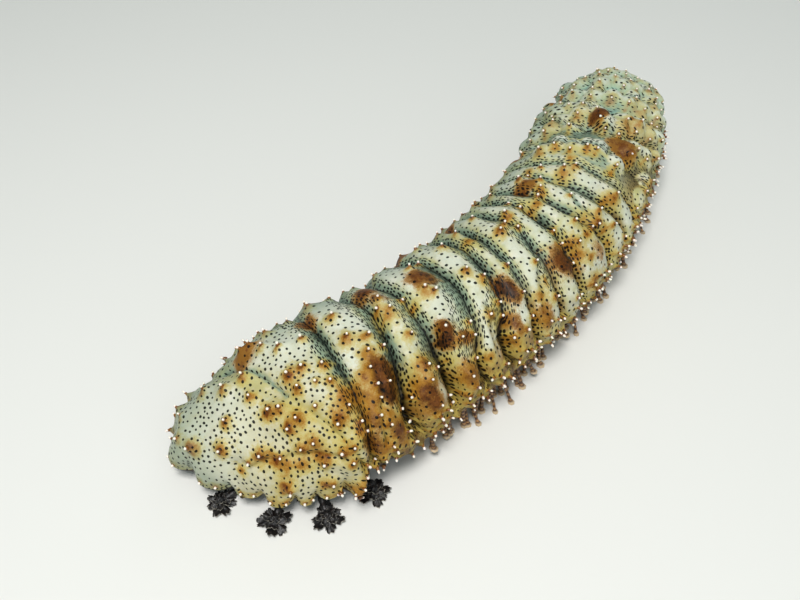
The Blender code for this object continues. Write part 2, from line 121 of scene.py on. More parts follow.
def profileAt(s):
    # half width, level of the widest line, rise above it and drop below it
    shape = bodyShape
    middle = np.interp(s, shape["middleStations"], shape["middleLevels"])
    wide = rounded(np.interp(s, shape["stations"], shape["halfWidths"]), s, shape["wideEnds"])
    rise = rounded(np.interp(s, shape["stations"], shape["heights"]) - middle, s, shape["riseEnds"])
    drop = rounded(middle - shape["bellyLevel"], s, shape["dropEnds"])
    return wide, middle, rise, drop


def bodyPoint(s, angle):
    wide, middle, rise, drop = profileAt(s)
    x, y, heading = spineAt(s)
    turn = np.radians(angle)
    up = np.cos(turn)
    side = wide * np.sin(turn)
    below = drop * np.minimum(1, -up * bodyShape["bellyFlatness"])
    z = np.where(up > 0, middle + rise * up, middle - below)
    return np.stack([x - side * np.sin(heading), y + side * np.cos(heading), z], axis=-1)


noiseTable = np.random.default_rng(3).random(4096)
scatter = np.array([73856093, 19349663, 83492791])  # large primes that spread the cells over the table


def softNoise(points, size, seed=0):
    # smooth noise from -1 to 1 with features of the given size
    p = points / size + seed * 17.3
    cell = np.floor(p).astype(np.int64)
    t = p - cell
    t = t * t * (3 - 2 * t)
    total = np.zeros(points.shape[:-1])
    for corner in range(8):
        step = np.array([corner & 1, corner >> 1 & 1, corner >> 2 & 1])
        x, y, z = np.moveaxis((cell + step) * scatter, -1, 0)
        total += noiseTable[(x ^ y ^ z) & 4095] * np.prod(np.where(step, t, 1 - t), axis=-1)
    return total * 2 - 1


# Folds: furrows across the back, from the tail to the head.
# s on the right flank, on the back and on the left flank, depth, and the valley's width on the
# tail side and on the head side, all in millimetres, then how strongly it is coloured
folds = {
    "furrows": (
        (33, 36, 34, 0.8, 2.0, 3.0, 0.35), (52, 55, 50, 0.9, 2.0, 3.0, 0.40),
        (62, 76, 66, 1.1, 2.0, 3.2, 0.50), (89, 97, 84, 1.8, 2.4, 3.2, 0.60),
        (115, 112, 107, 2.0, 2.2, 3.4, 0.65), (134, 130, 126, 2.0, 2.0, 3.2, 0.75),
        (148, 145, 139.5, 2.4, 2.0, 3.4, 0.80), (162, 160.5, 155, 2.8, 2.0, 3.6, 0.90),
        (171, 172.6, 176.4, 3.8, 2.2, 4.0, 1.00), (184, 186.5, 192, 2.4, 2.0, 4.0, 0.90),
        (199, 203, 209, 2.8, 2.0, 3.6, 0.90), (210.5, 214, 225, 3.4, 2.2, 4.2, 1.00),
        (233.5, 231.8, 240, 3.4, 2.0, 7.0, 1.00), (255, 256, 257.5, 4.6, 2.4, 5.0, 1.00),
        (271.5, 272.3, 278.5, 4.0, 2.2, 4.6, 1.00), (294, 296, 302.5, 2.6, 2.0, 5.0, 0.90),
        (323, 322, 319, 0.5, 2.0, 2.6, 0.10),
    ),
    "gapes": {8: 1.8, 11: 2.8, 12: 0.8, 13: 4.2, 14: 5.6, 15: 1.4},  # extra depth on the left flank
    "flankAngle": 50,  # where the flank values are read
    "swell": 1.5,      # how far the skin stands out between two furrows
    "wander": 0.7,     # how far furrows and creases stray from their lines
    "notchWidth": 0.55, "shadeLineWidth": 0.45,  # half widths of the fine notch and of the line of painted shade in it
}


def furrowAt(number, angle):
    right, back, left = (value * mm for value in folds["furrows"][number][:3])
    part = np.clip(angle / folds["flankAngle"], -1.15, 1.15)
    bent = back + (left - right) / 2 * part + ((left + right) / 2 - back) * part * part
    under = np.clip((np.abs(angle) - 80) / 40, 0, 1)  # below the flanks the line runs straight across
    return bent * (1 - under) + back * under


skinMesh = {
    "sides": 236,
    "upperSides": 184,  # of them, above the margins
    "marginAngle": 112,
    "tailRows": 52,
    "rowStep": 0.00092,
    "rimRows": 44,
}


def evenShares(start, end, count):
    # shares of the way from start to end that are evenly far apart on the surface
    s = np.linspace(start, end, 600)
    wide, middle, rise, drop = profileAt(s)
    steps = np.hypot(np.diff(s), np.maximum(np.abs(np.diff(wide)), np.abs(np.diff(rise))))
    far = np.concatenate([[0], np.cumsum(steps)])
    wanted = np.linspace(0, far[-1], count + 1)
    return (np.interp(wanted, far, s) - start) / (end - start)


def skinGrid():
    # angle of each column, and s of each row at each angle. Rows run along the furrows.
    sides, upper, margin = skinMesh["sides"], skinMesh["upperSides"], skinMesh["marginAngle"]
    lower = (sides - upper) // 2
    angles = np.concatenate([np.linspace(-180, -margin, lower, endpoint=False),
                             np.linspace(-margin, margin, upper, endpoint=False),
                             np.linspace(margin, 180, lower, endpoint=False)])
    lines = [furrowAt(number, angles) for number in range(len(folds["furrows"]))]
    rows = [lines[0] * share for share in evenShares(0, lines[0].mean(), skinMesh["tailRows"])[1:-1]]
    for here, there in zip(lines, lines[1:]):
        count = max(6, round((there - here).mean() / skinMesh["rowStep"]))
        t = np.arange(count) / count
        for share in t - 0.5 * np.sin(2 * np.pi * t) / (2 * np.pi):  # closer together at the furrows
            rows.append(here + (there - here) * share)
    for share in evenShares(lines[-1].mean(), bodyLength, skinMesh["rimRows"])[:-1]:
        rows.append(lines[-1] + (bodyLength - lines[-1]) * share)
    return angles, np.array(rows)


columnAngles, rowPlaces = skinGrid()
gridAngle = np.broadcast_to(columnAngles, rowPlaces.shape)
print("skin grid", rowPlaces.shape)


def lengthOf(vectors):
    return np.linalg.norm(vectors, axis=-1)


def unit(vectors):
    return vectors / (lengthOf(vectors)[..., None] + 1e-12)


def gridFrame(points):
    # unit directions on a grid of points: towards the head, round the body, and out
    ahead = unit(np.gradient(points, axis=0))
    around = unit(np.roll(points, -1, axis=1) - np.roll(points, 1, axis=1))
    return ahead, around, unit(np.cross(ahead, around))


def nearestPlace(s, angle):
    # row and column of the grid nearest to a place on the body
    column = int(np.argmin(np.abs(columnAngles - angle)))
    return int(np.argmin(np.abs(rowPlaces[:, column] - s))), column


# Short creases besides the furrows: points (s, angle), depth and width in millimetres, and the
# share that is coloured as a furrow
creases = {
    "lines": (
        (((286, 24), (288, 34), (291.6, 45), (294, 56), (295, 72)), 2.4, 1.5, 0.7),
        (((322.5, -56), (321, -38), (320, -15), (320.6, 3)), 1.9, 1.1, 0.62),
        (((351, -7), (350, 11), (345, 25), (342, 32), (336, 40), (329, 50), (322, 60), (318, 74)),
         2.6, 2.0, 0.0),
        (((259, 66), (263, 80), (271, 90)), 1.6, 1.4, 0.4),
        (((239, 58), (245, 77), (249, 92)), 1.5, 1.4, 0.4),
        (((103, 33), (98, 46), (91, 60)), 1.2, 1.6, 0.5),
        (((123, -11), (124, 12), (120, 33)), 1.0, 1.6, 0.5),
        (((136, -51), (133, -35), (139, -17)), 1.2, 1.8, 0.4),
        (((149, 7), (153, 24), (153, 39)), 1.2, 1.5, 0.7),
        (((188, 20), (199, 40), (205, 61)), 1.2, 1.5, 0.6),
        (((228, 30), (233, 48), (234, 66)), 1.2, 1.5, 0.5),
        (((54, -34), (68, -13), (67, 0)), 0.9, 1.8, 0.4),
    ),
}


def farFromLine(points, s, angle):
    # distance in millimetres from a line of (s, angle) points
    best = np.full(s.shape, 1e3)
    for (s0, a0), (s1, a1) in zip(points, points[1:]):
        start = np.array([s0, a0 * degreeRound])
        way = np.array([s1, a1 * degreeRound]) - start
        off = np.stack([s / mm, angle * degreeRound], axis=-1) - start
        t = np.clip(off @ way / (way @ way), 0, 1)
        best = np.minimum(best, lengthOf(off - t[..., None] * way))
    return best


basePoints = bodyPoint(rowPlaces, gridAngle)
baseAhead, baseAround, baseOut = gridFrame(basePoints)
height, valley, dashZone, creaseShadeLine, furrowNumber = (np.zeros(rowPlaces.shape) for _ in range(5))
swellOf = np.ones(rowPlaces.shape)  # falls to 0 in a furrow
furrowOff = np.full(rowPlaces.shape, 99.0)  # millimetres from the nearest furrow
upperSide = np.clip((106 - np.abs(gridAngle)) / 24, 0, 1)
leftFlank = ramp(gridAngle, 16, 44)
tailPart = 1 - ramp(rowPlaces, 0.108, 0.138)
wander = (softNoise(basePoints, 0.021, 1) * 1.5 + softNoise(basePoints, 0.008, 2) * 0.5) * mm
strayed = rowPlaces + folds["wander"] * wander

for number, (right, back, left, depth, tailWidth, headWidth, strength) in enumerate(folds["furrows"]):
    off = (strayed - furrowAt(number, gridAngle)) / mm
    gape = folds["gapes"].get(number, 0) * leftFlank
    wide = np.where(off < 0, tailWidth, headWidth) * (1 + 0.10 * gape)
    wide *= 1 - min(0.6, 0.09 * headWidth) * ramp(gridAngle, 36, 72)
    wave = 1 + 0.50 * softNoise(basePoints, 0.017, 5 + number)
    trough = bell(np.abs(off), wide, 1.5)
    notch = 0.5 * strength * bell(off, folds["notchWidth"])
    depthHere = depth * wave * (1 + 0.35 * ramp(gridAngle, 40, 80)) + gape
    height -= (depthHere * trough + notch) * upperSide * mm
    valley = np.maximum(valley, strength * trough * upperSide * (0.2 + 0.8 * wave))
    dashed = 1 - ramp(np.abs(off) / wide * wave, 0.8, 1.7)
    dashZone = np.maximum(dashZone, strength ** 0.5 * dashed * upperSide)
    # a near-black line of painted shade along each furrow's bottom, wider where the furrow gapes
    creaseShadeLine = np.maximum(creaseShadeLine, strength * bell(off, folds["shadeLineWidth"] + 0.17 * gape) * upperSide)
    swellOf *= 1 - bell(np.abs(off), wide + 1.2, 1.3)
    furrowNumber = np.where(np.abs(off) < np.abs(furrowOff), number, furrowNumber)
    furrowOff = np.where(np.abs(off) < np.abs(furrowOff), off, furrowOff)
crest = swellOf * upperSide
height += folds["swell"] * mm * crest * between(rowPlaces, 0.01, 0.04, 0.330, 0.350)

for points, depth, width, tint in creases["lines"]:
    off = farFromLine(points, strayed, gridAngle)
    height -= depth * mm * bell(off, width, 1.4)
    valley = np.maximum(valley, tint * bell(off, width, 1.6))
    creaseShadeLine = np.maximum(creaseShadeLine, tint * bell(off, 0.5))

lumps = 0.75 * softNoise(basePoints, 0.013, 31) * (1 + 0.6 * tailPart)
height += (lumps + 0.25 * softNoise(basePoints, 0.005, 32)) * mm * upperSide
neck = {"at": 0.306, "length": 0.014, "depth": 5.0}  # behind the head, low on the left flank
neckFlank = between(gridAngle, 50, 84, 120, 150)
height -= neck["depth"] * mm * bell(rowPlaces - neck["at"], neck["length"]) * neckFlank
print("folds shaped")

# Papillae: small cones with a white point. The seen ones are (s, angle) in millimetres and degrees.
papillae = {
    "seen": (
        (315, -4), (309, -1), (302, 5), (304, 16), (309, 11), (316, 6), (329, 2), (326, 6), (317, 21),
        (326, 17), (331, 17), (328, -12), (323, -27), (328, -32), (346, -16), (345, 11), (344, 23),
        (348, 6), (337, 29), (329, 33), (322, 50), (336, 46), (322, 61), (342, 64), (350, 54), (342, 83),
        (288, 0), (280, 6), (285, 15), (278, 16), (305, 33), (314, 36), (316, -45), (314, -43), (312, -33),
        (309, -23), (301, -17), (346, -43), (338, -17), (304, 45), (315, 54), (304, 52), (288, 23),
        (290, 33), (285, 35), (291, 40), (295, 49), (293, 57), (283, 58), (265, -1), (269, -6), (256, -6),
        (265, -11), (246, 0), (244, 5), (234, -28), (241, -23), (226, -43), (252, 28), (267, 41), (262, 48),
        (269, 50), (277, 55), (270, 67), (272, 76), (251, 63), (241, 79), (250, 73), (245, 57), (248, 39),
        (242, 43), (240, 34), (230, 38), (223, 45), (222, 35), (225, 5), (220, 15), (212, 39), (225, 61),
        (218, 78), (218, 61), (212, 57), (208, 18), (124, -30), (117, 4), (121, -7), (120, -21), (105, -38),
        (102, -18), (65, 2), (93, 2), (96, 8), (94, 21), (87, 32), (84, 21), (138, -2), (133, 4),
        (147, -27), (155, -27), (152, -11), (158, -6), (162, -5), (172, -11), (173, -21), (183, -12),
        (191, -5), (196, -2), (186, 2), (174, 22), (178, 33), (177, 51), (170, 40), (158, 41), (164, 28),
        (154, 43), (147, 52), (149, 36), (134, 40), (119, 29), (141, -18), (43, -1), (116, 11), (82, 30),
        (109, 67), (107, 89), (136, 82), (86, 76), (75, 57), (65, 51), (63, 45),
    ),
    "tries": 15000,
    "seenZone": (-46, 66),  # angles where mostly the seen ones stand
    "seenFrom": 0.098,
    "spacings": (13.5, 9.0, 5.4),  # in that zone, on the far side and along the lower margins
    "marginFrom": 74,  # angle where the lower margins begin
    "mound": (6.6, 1.5),  # radius and height of the swelling under each
    "headMound": (6.0, 2.1),
    "headFrom": 0.296,
    "onTail": 0.140,  # up to here each stands on a rounded lump
    "cone": (2.7, 1.3),
    "marginCone": (2.4, 2.8),
}
rimLobes = {
    # the notches between the lobes, as directions round the mouth's axis
    "notches": (-158, -140, -124, -109, -95, -82, -69, -56, -41, -25, -5,
                17, 42, 58, 79, 93, 109, 126, 143, 160),
    "cut": 5.0,    # depth of a notch
    "reach": 1.6,  # how far a lobe stands out
    "edgeAngle": 98,
    "band": 7.0,   # how far up the skin a lobe begins
    "bandBelow": 5.0,
    "lift": 2.4,   # how far a notch is raised
    "pointAt": 2.6,  # height of the white points above the edge
}
hood = {"mouthAt": 0.315, "narrow": 0.0205, "wide": 0.0262, "top": 0.0151, "lowest": 0.0026}
hoodX, hoodY, hoodHeading = (float(value) for value in spineAt(hood["mouthAt"]))


def furrowDistance(s, angle):
    return min(abs(s - furrowAt(number, angle)) for number in range(len(folds["furrows"])))


def treeOf(points):
    # for finding the nearest of the points
    tree = KDTree(len(points))
    for number, point in enumerate(points):
        tree.insert(point, number)
    tree.balance()
    return tree


def papillaPlaces():
    # the seen ones, then more over the rest of the back, flanks and margins
    kept = [(s * mm, angle, 1.0) for s, angle in papillae["seen"]]
    points = [bodyPoint(s, angle) for s, angle, size in kept]
    inside, outside, margin = papillae["spacings"]
    low, high = papillae["seenZone"]
    for _ in range(papillae["tries"]):
        s = random.uniform(0.004, bodyLength - 0.007)
        angle = random.uniform(-113, 113)
        if abs(angle) > papillae["marginFrom"]:
            spacing = margin
        elif low < angle < high and s > papillae["seenFrom"]:
            spacing = inside
        else:
            spacing = outside * random.uniform(0.8, 1.2)
        if s > bodyLength - 0.012 and abs(angle) > 60:
            continue
        if abs(angle) < 78 and furrowDistance(s, angle) < 0.0030:
            continue
        point = bodyPoint(s, angle)
        if lengthOf(np.array(points) - point).min() < spacing * mm:
            continue
        kept.append((s, angle, random.uniform(0.55, 0.95)))
        points.append(point)
    return kept


wayRound = np.degrees(np.arctan2(basePoints[..., 1] - hoodY, basePoints[..., 0] - hoodX) - hoodHeading)
wayRound = (wayRound + 180) % 360 - 180


def farFromRim():
    # distance up the skin from the rim's edge in millimetres, less than 0 on the underside
    edge = [basePoints[row, column] for column in (nearestPlace(0.3, rimLobes["edgeAngle"])[1],
                                                   nearestPlace(0.3, -rimLobes["edgeAngle"])[1])
            for row in range(len(rowPlaces)) if rowPlaces[row, column] > 0.262]
    tree = treeOf(edge)
    far = np.full(rowPlaces.shape, 99.0)
    for row, column in np.argwhere(rowPlaces > 0.255):
        far[row, column] = tree.find(basePoints[row, column])[2] / mm
    return np.where(np.abs(gridAngle) > rimLobes["edgeAngle"], -far, far)


upFromEdge = farFromRim()


def rimPlace(way):
    # grid place a little above the rim's edge in a direction round the mouth's axis
    off = np.abs(upFromEdge - rimLobes["pointAt"]) * 4
    return np.unravel_index(np.argmin(np.abs(wayRound - way) + off), wayRound.shape)


# Yellow, ochre and rust stains, most of them round papillae
clean = np.ones(rowPlaces.shape)
toneSum = np.zeros(rowPlaces.shape)
toneWeight = np.full(rowPlaces.shape, 1e-9)


def addStain(far, radius, strength, tone):
    # far and radius in millimetres, tone from 0, yellow, to 1, rust
    amount = strength * bell(far, radius, 1.8)
    clean[...] *= 1 - amount
    toneSum[...] += tone * (0.45 + 0.75 * bell(far, 0.50 * radius)) * amount ** 2
    toneWeight[...] += amount ** 2


def farFrom(place):
    return lengthOf(basePoints - basePoints[place]) / mm


tips = []  # row, column, size, kind and colour tone of each white point
standing = papillaPlaces()
print("papillae", len(standing))
papillaPoints = []
scales = np.zeros(rowPlaces.shape)  # rounded lumps on the tail, one behind each papilla
for s, angle, size in standing:
    place = nearestPlace(s, angle)
    onMargin = abs(angle) > papillae["marginFrom"]
    onTail = s < papillae["onTail"] and not onMargin
    far = farFrom(place)
    moundRadius, moundHeight = papillae["headMound" if s > papillae["headFrom"] else "mound"]
    coneRadius, coneHeight = papillae["marginCone" if onMargin else "cone"]
    rise = 0 if onMargin else moundHeight * size * bell(far, moundRadius * 0.6)
    height += (rise + coneHeight * size * np.clip(1 - far / coneRadius, 0, 1) ** 1.1) * mm
    tone = random.uniform(0.40, 0.85)
    if size == 1:
        reach = random.uniform(1.9, 2.6)
    else:
        reach = random.uniform(2.2, 4.4) * (0.6 + 0.4 * size)
    ahead = 0.0009
    if onTail:
        tone, reach, ahead = tone * 0.55, reach * 1.35, 0.0024
        behind = nearestPlace(s - 0.0040, angle)
        off = (basePoints - basePoints[behind]) / mm
        along, across = off @ baseAhead[behind], off @ baseAround[behind]
        share = np.hypot(along / np.where(along > 0, 5.4, 9.0), across / 7.6)
        share = np.where(lengthOf(off) > 14, 9, share)
        scales = np.maximum(scales, (0.7 + 0.3 * size) * np.clip(1 - share ** 2, 0, 1) ** 1.2)
    strength = 0.6 if onMargin else random.uniform(0.6, 0.95)
    addStain(farFrom(nearestPlace(s + ahead, angle)), reach, strength, tone)
    if not onMargin:
        addStain(farFrom(place), 1.25, 0.75 * size, 1.0)
    tips.append((*place, size, "margin" if onMargin else "back", tone))
    papillaPoints.append(basePoints[place])
height += (5.0 * scales - 2.6) * tailPart * upperSide * ramp(rowPlaces, 0.006, 0.03) * mm
valley = np.maximum(valley, 0.80 * (1 - ramp(scales, 0.0, 0.24)) * tailPart * upperSide)
crest = np.maximum(crest * (1 - 0.6 * tailPart), np.minimum(1, 1.35 * scales) * tailPart)

stains = {
    # s, angle, radius in millimetres, tone
    "places": (
        (267, 1, 6.0, 0.35), (289, 1, 5.0, 0.45), (282, 6, 3.2, 0.5), (287, 16, 3.0, 0.5),
        (248, 2, 3.6, 0.4), (223, 17, 3.2, 0.35), (225, 6, 3.0, 0.4), (208, -16, 5.0, 0.5),
        (196, -2, 4.2, 0.55), (230, 39, 5.0, 0.45), (204, 51, 4.2, 0.6), (197, 44, 3.2, 0.65),
        (206, 73, 4.5, 0.4), (268, 40, 7.0, 0.55), (252, 64, 6.0, 0.5), (313, 34, 6.0, 0.5),
        (304, 28, 5.5, 0.45), (291, 26, 6.0, 0.6), (274, 51, 6.5, 0.6), (295, 40, 6.5, 0.65),
        (239, 63, 5.0, 0.45), (225, 66, 5.5, 0.6), (255, 4, 3.6, 0.5), (256, 49, 4.0, 0.3),
        (127, -30, 3.4, 0.45), (121, -18, 3.4, 0.3), (127, -4, 3.4, 0.35), (118, 4, 3.0, 0.55),
        (123, 29, 3.4, 0.65), (136, 41, 4.4, 0.7), (140, 38, 5.0, 0.4), (141, 0, 5.5, 0.3),
        (133, 4, 3.0, 0.7), (143, -28, 3.6, 0.5), (160, -5, 4.4, 0.5), (167, -1, 3.8, 0.55),
        (184, -8, 4.2, 0.6), (172, -2, 5.0, 0.35), (174, 22, 3.0, 0.65), (163, 41, 4.4, 0.75),
        (154, 41, 4.2, 0.65), (152, 51, 4.0, 0.4), (156, 33, 5.0, 0.2), (173, 38, 6.0, 0.5),
        (174, 49, 5.0, 0.6), (171, 76, 5.5, 0.6), (140, 92, 6.0, 0.5), (88, 23, 6.5, 0.45),
        (67, 1, 4.5, 0.45), (36, -2, 3.0, 0.6), (81, 24, 3.0, 0.6), (67, 26, 4.0, 0.3), (86, 50, 4.5, 0.3),
        (103, 69, 4.5, 0.6), (106, 40, 4.5, 0.35), (152, 64, 4.0, 0.3), (169, 56, 3.4, 0.6),
        (315, -2, 5.0, 0.75), (309, -1, 3.4, 0.45), (302, 6, 3.2, 0.4), (324, -24, 3.2, 0.3),
        (330, -32, 3.0, 0.3), (328, -12, 3.0, 0.45), (317, 7, 3.4, 0.35), (304, 16, 2.8, 0.35),
        (304, 28, 4.8, 0.5), (330, 2, 4.8, 0.8), (327, 7, 2.6, 0.5), (326, 18, 4.2, 0.55),
        (331, 17, 4.2, 0.8), (338, -17, 2.8, 0.5), (346, -16, 4.2, 0.65), (346, -40, 4.2, 0.5),
        (346, 12, 4.8, 0.85), (346, 22, 4.6, 0.8), (337, 30, 5.0, 0.6), (329, 33, 4.0, 0.55),
        (350, 46, 5.0, 0.6), (344, 64, 4.4, 0.55), (351, 0, 3.2, 0.4), (322, 51, 3.4, 0.7),
        (322, 62, 3.2, 0.4), (307, 49, 4.2, 0.5), (344, 39, 5.0, 0.35), (346, 30, 5.0, 0.4),
        (335, 40, 4.5, 0.5), (333, 45, 4.0, 0.5), (285, 15, 3.4, 0.4), (290, 52, 5.5, 0.5),
        (289, 66, 6.5, 0.6), (299, 73, 6.0, 0.6),
    ),
    "strength": 0.90,
    "size": 0.92,
    "headTone": 0.18,  # added on the head
}
stainNoise = 1 + 0.22 * softNoise(basePoints, 0.0045, 61) + 0.18 * softNoise(basePoints, 0.0020, 62)
for s, angle, radius, tone in stains["places"]:
    tone += stains["headTone"] if s > 298 else 0
    far = farFrom(nearestPlace(s * mm, angle)) * stainNoise
    addStain(far, radius * stains["size"], stains["strength"], tone)

# Brown blotches: s, angle, half length along and round the body in millimetres, strength,
# darkness, sharpness of the edge, rise
blotches = {
    "places": (
        (284, 31, 7.0, 10.0, 1.0, 0.46, 0.1, 0.5), (286, 43, 5.5, 6.5, 1.0, 0.72, 0.1, 0.3),
        (299, 30, 6.0, 6.0, 0.7, 0.10, 0.0, 0.8), (299, 48, 5.0, 7.0, 0.7, 0.20, 0.0, 0.3),
        (251.5, 28, 4.2, 4.6, 1.0, 0.42, 0.2, 2.0), (253.5, 35, 3.2, 4.2, 1.0, 0.80, 0.2, 0.4),
        # the dark blotch at (216, 31) lies in a hollow between two furrows; its darkness is partly painted
        # shade
        (246, 41, 4.4, 4.2, 0.75, 0.30, 0.1, 0.6), (216, 31, 5.6, 8.6, 1.0, 0.74, 0.1, 1.2),
        (222, 51, 4.4, 6.0, 0.7, 0.36, 0.1, 0.6), (182, 44, 8.0, 9.0, 1.0, 0.62, 0.1, 1.2),
        (157.2, -17, 4.2, 4.6, 0.95, 0.14, 0.2, 1.6), (160.6, -21, 3.4, 4.6, 0.9, 0.30, 0.2, 0.8),
        (316, -43, 8.0, 6.0, 0.92, 0.12, 0.3, 0.3), (89.0, 0, 5.4, 5.0, 1.0, 0.44, 0.9, 1.6),
        (91.0, -3, 3.0, 3.0, 0.9, 0.85, 0.2, 0.0), (102.0, 25, 6.8, 8.2, 1.0, 0.14, 0.8, 1.6),
        (105.0, 30, 4.0, 4.4, 0.9, 0.46, 0.2, 0.0), (294, -33, 5.5, 5.5, 0.8, 0.35, 0.4, 1.0),
        (266, -27, 6.5, 6.5, 1.0, 0.48, 0.4, 1.6), (266, -15, 4.5, 5.0, 0.7, 0.45, 0.2, 0.6),
        (243, -10, 7.0, 6.4, 1.0, 0.36, 0.2, 2.0), (303, 26, 4.0, 4.5, 0.6, 0.10, 0.2, 0.9),
        (272, 61, 7.0, 11.0, 0.9, 0.50, 0.1, 0.4), (250, 66, 6.5, 8.0, 0.7, 0.30, 0.1, 0.4),
        (206, 64, 6.0, 9.0, 0.7, 0.25, 0.1, 0.4), (289, 70, 6.0, 9.0, 0.9, 0.40, 0.1, 0.3),
        (302, 66, 5.0, 9.0, 0.8, 0.35, 0.1, 0.0), (198, -56, 5.0, 5.0, 0.9, 0.40, 0.5, 1.0),
        (120, -60, 5.5, 5.5, 0.9, 0.40, 0.6, 1.2), (62, -46, 4.5, 5.0, 0.9, 0.35, 0.6, 1.2),
        (229, -66, 5.0, 6.5, 0.9, 0.45, 0.4, 1.0), (172, -66, 5.5, 5.0, 0.9, 0.35, 0.4, 1.0),
        (282, -66, 6.0, 6.0, 0.9, 0.45, 0.4, 1.0), (162, 60, 5.0, 7.0, 0.6, 0.25, 0.1, 0.3),
    ),
}
blotch, solid, darkSum = (np.zeros(rowPlaces.shape) for _ in range(3))
darkWeight = np.full(rowPlaces.shape, 1e-9)
edgeWobble = 0.20 * softNoise(basePoints, 0.0075, 44) + 0.14 * softNoise(basePoints, 0.0022, 42)


def placeShare(s, angle, along, across):
    # distance from a place in its own half lengths
    place = nearestPlace(s * mm, angle)
    off = basePoints - basePoints[place]
    far = np.hypot(off @ baseAhead[place] / (along * mm), off @ baseAround[place] / (across * mm))
    return np.where(lengthOf(off) > 0.03, 9, far)


for s, angle, along, across, strength, dark, sharp, lift in blotches["places"]:
    far = placeShare(s, angle, along, across)
    amount = strength * np.exp(-1.1 * np.maximum(0, far + edgeWobble) ** (2 + 2 * sharp))
    darkSum += dark * (0.50 + 0.65 * amount) * amount ** 3
    darkWeight += amount ** 3
    blotch = np.maximum(blotch, amount)
    if sharp > 0.6:  # such a one hides the spots
        solid = np.maximum(solid, amount)
    height += lift * mm * bell(far * 0.95, 1)
blotchDark = darkSum / darkWeight
for field in (valley, dashZone, creaseShadeLine):
    field *= 1 - solid

# The hollow at the tail's end
fromTail = lengthOf(basePoints - bodyPoint(0, 0)) / mm
height -= 3.0 * mm * bell(fromTail, 2.2)
blotch = np.maximum(blotch, 0.9 * bell(fromTail, 3.0))
blotchDark = np.where(fromTail < 5, 0.8, blotchDark)

skinPoints = basePoints + baseOut * height[..., None]

# Lobes of the front rim, with a notch between each two
notches = np.array(rimLobes["notches"])
lobe = np.clip(np.searchsorted(notches, wayRound) - 1, 0, len(notches) - 2)
acrossLobe = np.clip((wayRound - notches[lobe]) / (notches[lobe + 1] - notches[lobe]), 0, 1)
lobeSize = np.array([random.uniform(0.60, 1.15) for _ in notches])[lobe]
onRight = between(-wayRound, 8, 30, 84, 110)  # the lobes are deeper there
lobeShare = (1 - np.abs(2 * acrossLobe - 1) ** (3.0 - 1.0 * onRight)) * (lobeSize + 0.25 * onRight)
band = np.where(upFromEdge > 0, rimLobes["band"] * (1 + 0.40 * onRight), rimLobes["bandBelow"])
onRim = bell(upFromEdge, band) * ramp(rowPlaces, 0.278, 0.298)
onRim *= (wayRound > notches[0]) & (wayRound < notches[-1])
way = np.radians(wayRound) + hoodHeading
outward = np.stack([np.cos(way), np.sin(way), np.zeros(way.shape)], axis=-1)
swing = (rimLobes["reach"] + rimLobes["cut"]) * lobeShare - rimLobes["cut"]
skinPoints += outward * (swing * onRim * (1 + 0.35 * onRight) * mm)[..., None]
skinPoints[..., 2] += rimLobes["lift"] * (1 - 1.5 * lobeShare) * onRim * mm
for left, right in zip(notches, notches[1:]):
    for share in (random.uniform(0.28, 0.45), random.uniform(0.62, 0.80)):
        place = rimPlace(left + (right - left) * share)
        if wayRound[place] > 100 or wayRound[place] < -100:
            continue
        tone = random.uniform(0.35, 0.6)
        addStain(farFrom(place) * stainNoise, random.uniform(2.6, 4.2), 0.85, tone)
        tips.append((*place, 0.8, "lobe", tone))

stain = 1 - clean
stainTone = toneSum / toneWeight

# Underside: the sole stands lower than the belly, and the hood is hollow round the mouth
sole = {"from": 0.020, "to": 0.272, "edge": 0.002, "share": 0.64, "level": 0.0034}
bodyWide = profileAt(rowPlaces)[0]
sideways = np.abs(np.sin(np.radians(gridAngle))) * bodyWide
under = np.abs(gridAngle) > 96
half = bodyWide * sole["share"]
soleMask = (1 - ramp(sideways, half - 0.0016, half + 0.0004)) * under
soleMask *= between(rowPlaces, sole["from"] - sole["edge"], sole["from"] + sole["edge"],
                    sole["to"] - sole["edge"], sole["to"] + sole["edge"])
skinPoints[..., 2] -= (bodyShape["bellyLevel"] - sole["level"]) * soleMask
fromMouth = np.hypot(basePoints[..., 0] - hoodX, basePoints[..., 1] - hoodY)
hollow = (1 - ramp(fromMouth, hood["narrow"], hood["wide"])) * (np.abs(gridAngle) > 90)
skinPoints[..., 2] += (hood["top"] - bodyShape["bellyLevel"]) * hollow
skinPoints[..., 2] = np.maximum(skinPoints[..., 2], hood["lowest"])

tailPole = skinPoints[0].mean(axis=0)
rimPole = bodyPoint(bodyLength, 0)


def alone(piece):
    # the only selected and the active object
    bpy.ops.object.select_all(action="DESELECT")
    piece.select_set(True)
    bpy.context.view_layer.objects.active = piece


def pointOutwards(piece):
    alone(piece)
    bpy.ops.object.mode_set(mode="EDIT")
    bpy.ops.mesh.select_all(action="SELECT")
    bpy.ops.mesh.normals_make_consistent(inside=False)
    bpy.ops.object.mode_set(mode="OBJECT")
    bpy.ops.object.shade_smooth()


def readMesh(mesh, items, name, wide=1, kind=float):
    # one number, or a few, for each vertex, corner or face
    items = getattr(mesh, items)
    values = np.empty(len(items) * wide, kind)
    items.foreach_get(name, values)
    return values.reshape(-1, wide) if wide > 1 else values


def paint(piece, name, values, domain="POINT"):
    # a number, or three, for each vertex or corner, for the material to read
    kind, key = ("FLOAT", "value") if np.ndim(values) == 1 else ("FLOAT_VECTOR", "vector")
    layer = piece.data.attributes.new(name, kind, domain)
    layer.data.foreach_set(key, np.asarray(values, dtype=np.float32).ravel())


